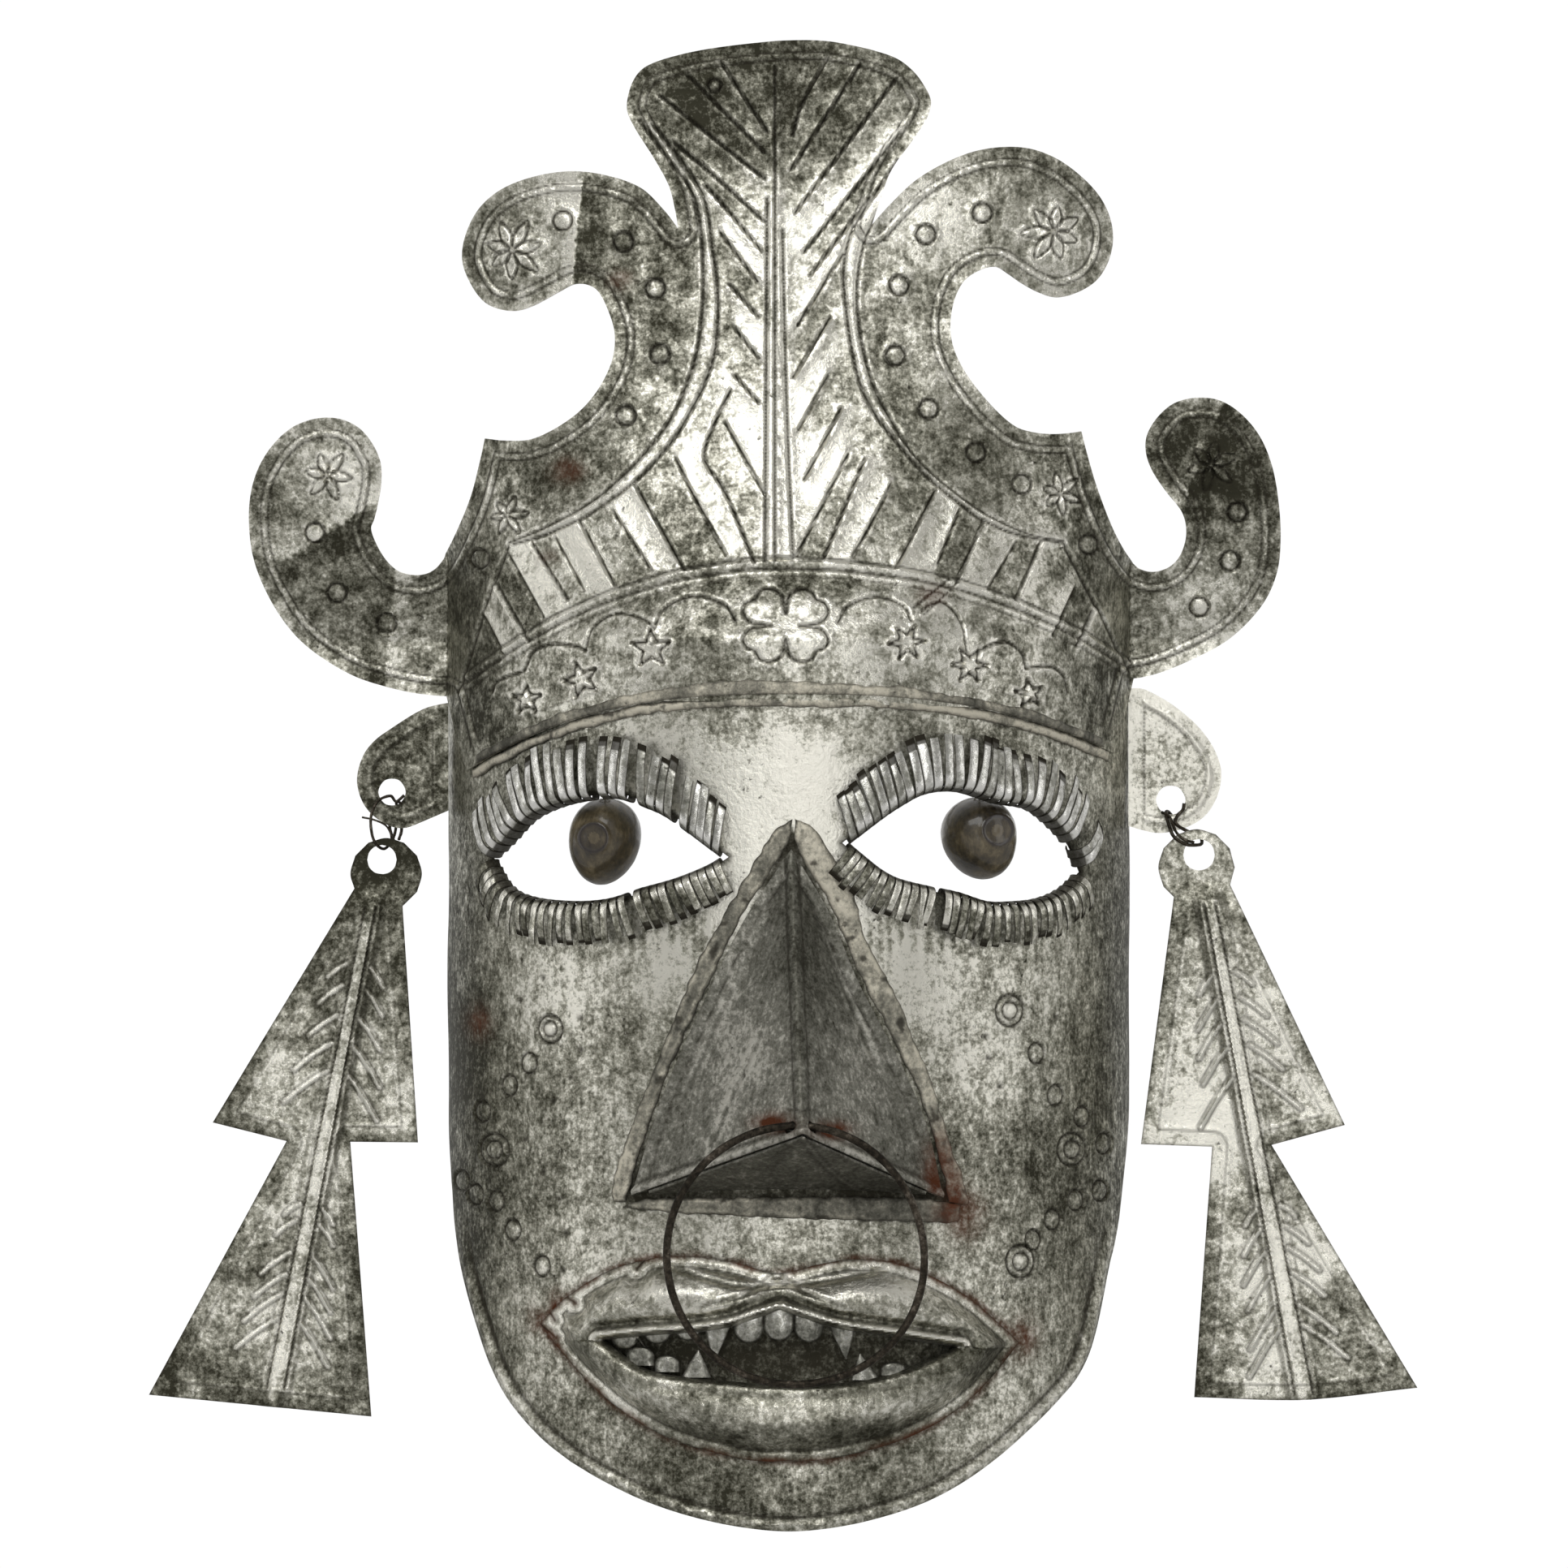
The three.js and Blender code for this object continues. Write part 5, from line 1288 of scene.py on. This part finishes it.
# ---------------------------------------------------------------- wires
def tube(name, centres, radius, closed=False, sides=12, rough=0.05):
    """A wire along the centres, with small uneven swellings."""
    centres = np.array(centres, float)
    count = len(centres)
    if closed:
        tangents = np.roll(centres, -1, 0) - np.roll(centres, 1, 0)
    else:
        tangents = np.gradient(centres, axis=0)
    tangents /= np.linalg.norm(tangents, axis=1)[:, None]
    out = np.cross(tangents[0], (0.3, 0.9, 0.2))
    points = []
    turns = np.linspace(0, 2 * math.pi, sides, endpoint=False)
    for i in range(count):
        out -= tangents[i] * (out @ tangents[i])
        out /= np.linalg.norm(out)
        side = np.cross(tangents[i], out)
        local = radius * (1 + rough * noise.noise((i * 0.23, 3, 0)))
        points += [centres[i] + local * (math.cos(a) * out + math.sin(a) * side) for a in turns]
    faces = []
    for i in range(count if closed else count - 1):
        for k in range(sides):
            a, b = i * sides + k, i * sides + (k + 1) % sides
            c, d = (a + sides) % (count * sides), (b + sides) % (count * sides)
            faces.append((a, b, d, c))
    if not closed:
        faces.append(tuple(range(sides))[::-1])
        faces.append(tuple((count - 1) * sides + k for k in range(sides)))
    made = make_object(name, points, faces)
    face_outwards(made)
    return made


RING_X, RING_Y, RING_Z = 1.8, -117.5, -162.7
RING_RADIUS = 36.3
turns = np.linspace(0, 2 * math.pi, 180, endpoint=False)
ring_points = [(RING_X + RING_RADIUS * math.sin(t) + 0.25 * math.sin(3 * t + 1),
                RING_Y + 0.2 * math.sin(2 * t),
                RING_Z + RING_RADIUS * math.cos(t) + 0.25 * math.cos(2 * t)) for t in turns]
nose_ring = tube("ring_wire", ring_points, radius=1.12, closed=True, sides=14, rough=0.08)
dress(nose_ring, iron, "ring", "iron_wire", "nose_ring")


def hand_bent_link(side, strands):
    """The wires that join an ear to its earring: each strand is a radius and its (x, y, z) points."""
    made = [tube(side + "_link", smooth_line(points, 0.35), radius, rough=0.15) for radius, points in strands]
    dress(joined(made), iron, "link_" + side, "iron_wire", "ear_link_" + side)


hand_bent_link("left", [
    (0.42, [(-109.9, -15.2, -33.4), (-111.2, -15.4, -34.6), (-112.3, -15.2, -35.2), (-113.8, -15.2, -33.6),
            (-117.4, -15.6, -35.1), (-119.3, -17.5, -39.4), (-119, -19.3, -44.6), (-117.7, -19.4, -47.5),
            (-115.6, -17.9, -48.7), (-113.6, -16.2, -46.8), (-112.6, -14.9, -44.4), (-112.2, -12.6, -41.4),
            (-112, -12.5, -37.4), (-112.1, -13.6, -35.2), (-110.6, -15.4, -35.8)]),
    (0.3, [(-121.9, -15.4, -39.7), (-118.6, -16.4, -40.4), (-115.3, -16.6, -41.9), (-113.8, -16.3, -44.2),
           (-113.5, -16.2, -46.4)]),
    (0.45, [(-111, -12.6, -38), (-110.7, -12.6, -43.3), (-111.4, -15.6, -46)]),
    (0.45, [(-114.2, -12.6, -39), (-114, -12.6, -43), (-112.9, -15.8, -46.2)])])
hand_bent_link("right", [
    (0.5, [(110.5, -12.5, -40.6), (108.2, -13.5, -38.1), (107.6, -15.3, -38.6), (108.5, -16.2, -42.1),
           (109.9, -18.4, -45.3), (113.2, -19.4, -47.4), (116.4, -18.9, -47.6), (117.8, -17.6, -47.1),
           (117.2, -16.2, -44.9), (113.6, -15.3, -43.6), (110.4, -15.3, -41.4), (110.9, -15.3, -39.2),
           (112.4, -15.3, -37.6), (112.8, -15.3, -35.7)]),
    (0.42, [(106.3, -15.3, -38.2), (108.4, -16, -39.3), (109.4, -16.7, -41.4), (110.6, -18.4, -44.1),
            (113, -19.8, -46.2), (115.6, -19.6, -46.9)])])


# ---------------------------------------------------------------- plain carried-over pieces
for node, material in (("hanger_strap", tin), ("eye_tab_left", tin), ("eye_tab_right", tin),
                       ("eye_wire_left", iron), ("eye_wire_right", iron)):
    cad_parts[node].data.materials.clear()
    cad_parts[node].data.materials.append(material)


# ---------------------------------------------------------------- eyes
def seed_material():
    material, net, place, shader = new_material("polished_seed")
    shader.inputs["Coat Weight"].default_value = 0.6
    shader.inputs["Coat Roughness"].default_value = 0.12
    large = net.noise(place, 130, 4, 0.6)
    fine = net.noise(place, 900, 5, 0.7, (1, 1, 0.4))
    total = net.maths("ADD", large, net.maths("MULTIPLY", fine, 0.5))
    total = net.maths("ADD", total, net.maths("MULTIPLY", net.attribute("tone"), 0.3))
    colour = net.ramp(total, [(0.55, (0.02, 0.015, 0.008)), (0.75, (0.07, 0.053, 0.026)),
                              (0.95, (0.17, 0.135, 0.075))])
    colour = net.blend(net.attribute("soil"), colour, (0.012, 0.006, 0.005), colours=True)
    net.links.new(colour, shader.inputs["Base Color"])
    net.links.new(net.ramp(fine, [(0.3, 0.32), (0.7, 0.5)]), shader.inputs["Roughness"])
    net.bumps(fine, 0.25, 0.0004, shader)
    return material


seed_skin = seed_material()
EYE_Y = -65


def eye_seed(name, node, body, x, z, width, height, tilt, mark):
    """An egg-shaped seed whose scar, at mark (x, z, radius), faces forward."""
    points, values, scar = [], [], []
    across, down = 168, 112
    for i in range(1, down):
        polar = math.pi * i / down
        for k in range(across):
            turn = 2 * math.pi * k / across
            taper = 1 + 0.1 * math.cos(polar)
            q = np.array([math.sin(polar) * math.cos(turn) * width / 2 * taper,
                          math.sin(polar) * math.sin(turn) * width / 2 * taper,
                          math.cos(polar) * height / 2])
            q = np.array([q[0] * math.cos(tilt) + q[2] * math.sin(tilt), q[1],
                          q[2] * math.cos(tilt) - q[0] * math.sin(tilt)])
            out = q / np.linalg.norm(q)
            lump = 0.18 * noise.noise(tuple(q * 0.16 + x)) + 0.05 * noise.noise(tuple(q * 0.6))
            q = q + out * lump
            value = mottled = 0.0
            if q[1] < 0:
                r = math.hypot(q[0] + x - mark[0], q[2] + z - mark[1]) / mark[2]
                q = q + out * (0.4 * math.exp(-(((r - 1) / 0.16) ** 2)) - 0.3 * (r < 0.9) * (1 - r))
                value = max(math.exp(-(((r - 0.92) / 0.13) ** 2)), 0.4 * (r < 0.92))
                mottled = 0.8 * (r < 0.4)
            points.append(q + (x, EYE_Y, z))
            values.append(mottled)
            scar.append(min(1, value))
    top, bottom = len(points), len(points) + 1
    pole = np.array([math.sin(tilt), 0, math.cos(tilt)]) * height / 2
    points += [pole + (x, EYE_Y, z), -pole + (x, EYE_Y, z)]
    values += [0, 0]
    scar += [0, 0]
    faces = []
    for i in range(down - 2):
        for k in range(across):
            a, b = i * across + k, i * across + (k + 1) % across
            faces.append((a, a + across, b + across, b))
    last = (down - 2) * across
    faces += [(top, k, (k + 1) % across) for k in range(across)]
    faces += [(bottom, last + (k + 1) % across, last + k) for k in range(across)]
    made = make_object(name, points, faces, {"tone": values, "soil": scar})
    dress(made, seed_skin, body, "seed", node)


eye_seed("left_seed", "eye_seed_left", "eye_left", -52.3, -46.5, 20.4, 24.8, 0.2, (-55.3, -45.4, 4.1))
eye_seed("right_seed", "eye_seed_right", "eye_right", 54, -45.6, 21.4, 23.6, -0.3, (59, -43.3, 4.3))


# ---------------------------------------------------------------- ears and earrings
EAR_Y = -14.0
EARRING_Y = -18


def ear_sheet(side, tone):
    loops = front_loops("ear_" + side)
    rings = [smooth_loop(loops[0], 0.5), smooth_loop(loops[1], 0.5, 75)]

    def relief(m, edge):
        from_rim = distance_to(rings[:1], m.x, m.z)
        m.dents(12, 0.5, 71)
        m.border(from_rim, 3.4, 0.7, 0.5, (4.5,), 0.7 * (np.abs(m.x) > 101))
        m.tone += tone + 0.3 * bell(from_rim, 1.2) + 0.3 * wobble(m.x, m.z, 8, 73)

    ear = sheet(side + "_ear", rings, lambda x, z: np.full(len(x), EAR_Y), relief,
                thickness=0.8, spacing=0.6, seed=5)
    dress(ear, tin, "mask", "tin", "ear_" + side)


# The right ear is set lighter and the left darker, as painted light and shade.
ear_sheet("left", -0.4)
ear_sheet("right", 0.7)


def earring_sheet(side, rib, bars, tab, tone):
    """A stepped pendant: rib is the ends of its raised middle, bars are (start z, end z, count) of its
    slanted marks, and tab is the z below which it is embossed.
    """
    (ax, az), (bx, bz) = rib

    def middle(z):
        return ax + (z - az) * (bx - ax) / (bz - az)

    def surface(x, z):
        away = np.abs(x - middle(z))
        swell = np.interp(away, (0, 1.6, 5, 22, 50), (2.8, 2.8, 1.2, 0.9, 0))
        return EARRING_Y - swell * np.clip((tab - z) / 8, 0, 1)

    def relief(m, edge):
        x, z = m.x, m.z
        m.dents(18, 0.55, 81 if side == "left" else 91)
        m.dents(7, 0.15, 83)
        body = np.clip((tab - 8 - z) / 3, 0, 1)
        from_rim = distance_to(rings[:1], x, z)
        m.border(from_rim, 5.0, 0.6, 0.3, (4.3,), 0.5 * body)
        m.tone += tone - 0.25 * body * bell(from_rim, 4)
        m.darken(0.6 * bell(from_rim, 0.45))
        m.tone -= 1.1 * (1 - body) * (side == "left")
        m.tone += 0.7 * body * wobble(x, z, 20, 85 if side == "left" else 95)
        rows = np.linspace(az - 3, bz + 1, 9)
        spread = np.linspace(1.7, 2.8, 9)
        m.chase([(middle(v) - w, v) for v, w in zip(rows, spread)], 0.5, 0.36, 0.85)
        m.chase([(middle(v) + w, v) for v, w in zip(rows, spread)], 0.5, 0.36, 0.95)
        m.tone += 0.5 * body * bell(x - middle(z) + 0.4, 1.6)
        direction = np.array([bx - ax, bz - az]) / math.hypot(bx - ax, bz - az)
        across = np.array([-direction[1], direction[0]])
        chance = np.random.default_rng(87 if side == "left" else 97)
        for start, end, count in bars:
            for k in range(count):
                v = start + (end - start) * (k + chance.uniform(0.3, 0.7)) / count
                reach = (5 + 12 * (k + 0.5) / count) * chance.uniform(0.85, 1.1)
                foot = np.array([middle(v), v])
                for sign in (-1, 1):
                    a = foot + across * sign * 3.6 - direction * 2
                    b = a + across * sign * reach * 0.68 + direction * reach * 0.74
                    m.bead([a, (a + b) / 2 + across * sign * 0.4, b], 0.4, 0.55, 0.65, 1.3)
                    m.patch(*((a + b) / 2), reach * 0.3, 1.6, 0.35)

    rings = [smooth_loop(loop, 0.6, 30) for loop in front_loops("earring_" + side)]
    piece = sheet(side + "_earring", rings, surface, relief, thickness=0.6, spacing=0.58, seed=6)
    dress(piece, crown_tin, "pendant_" + side, "embossed_tin", "earring_" + side)


# The right earring is set lighter than the left, as painted light and shade.
earring_sheet("left", ((-118.8, -62.4), (-146.7, -203.4)), ((-80, -118, 5), (-148, -190, 6)), -59, -0.1)
earring_sheet("right", ((119.4, -61.5), (147.1, -205.2)), ((-82, -120, 5), (-148, -192, 6)), -58, 0.2)


# ---------------------------------------------------------------- studio
FLOOR_RADIUS = 8
FLOOR_Z = -0.62
floor_material, net, place, shader = new_material("pale_floor")
shader.inputs["Roughness"].default_value = 0.9
pale = net.ramp(net.noise(place, 3, 4), [(0.3, 0.6), (0.7, 0.64)])
net.links.new(pale, shader.inputs["Base Color"])
disc = bpy.data.meshes.new("floor")
turns = np.linspace(0, 2 * math.pi, 96, endpoint=False)
disc.from_pydata([(FLOOR_RADIUS * math.cos(a), FLOOR_RADIUS * math.sin(a), FLOOR_Z) for a in turns], [],
                 [tuple(range(len(turns)))])
floor = bpy.data.objects.new("floor", disc)
bpy.context.scene.collection.objects.link(floor)
disc.materials.append(floor_material)


def softbox(name, place, width, height, watts):
    """A rectangular light, unseen by the camera, that faces the mask."""
    light = bpy.data.lights.new(name, "AREA")
    light.shape = "RECTANGLE"
    light.size = width
    light.size_y = height
    light.energy = watts
    made = bpy.data.objects.new(name, light)
    made.location = place
    made.rotation_euler = (-Vector(place)).to_track_quat("-Z", "Y").to_euler()
    made.visible_camera = False
    bpy.context.scene.collection.objects.link(made)


softbox("key", (-0.4, -2.4, 1.9), 2.0, 1.4, 26)
softbox("front", (0.2, -3.4, 0.1), 1.0, 1.6, 9)
softbox("rim_left", (-2.4, -0.9, 0.3), 0.7, 1.8, 5)
softbox("rim_right", (2.4, -1.0, 0.2), 0.7, 1.8, 5)

world = bpy.data.worlds.new("studio")
bpy.context.scene.world = world
world.use_nodes = True
net = Shading(world.node_tree)
toward = net.nodes.new("ShaderNodeSeparateXYZ")
net.links.new(net.nodes.new("ShaderNodeTexCoord").outputs["Generated"], toward.inputs["Vector"])
share = net.maths("ADD", net.maths("MULTIPLY", toward.outputs["Y"], 0.5), 0.5)
paper = net.ramp(share, [(0.3, (0.33, 0.327, 0.317)), (0.55, (0.47, 0.466, 0.455)), (0.9, 1.0)])
background = net.nodes["Background"]
net.links.new(paper, background.inputs["Color"])
background.inputs["Strength"].default_value = 1.02

lens = bpy.data.cameras.new("camera")
lens.sensor_width = 36
distance = 6.0
FRAME_WIDTH = 0.4444
lens.lens = lens.sensor_width * distance / FRAME_WIDTH
camera = bpy.data.objects.new("camera", lens)
camera.location = (-0.00145, -distance - 0.06, -0.0302)
camera.rotation_euler = (math.pi / 2, 0, 0)
bpy.context.scene.collection.objects.link(camera)
bpy.context.scene.camera = camera
bpy.context.scene.view_settings.view_transform = "Standard"
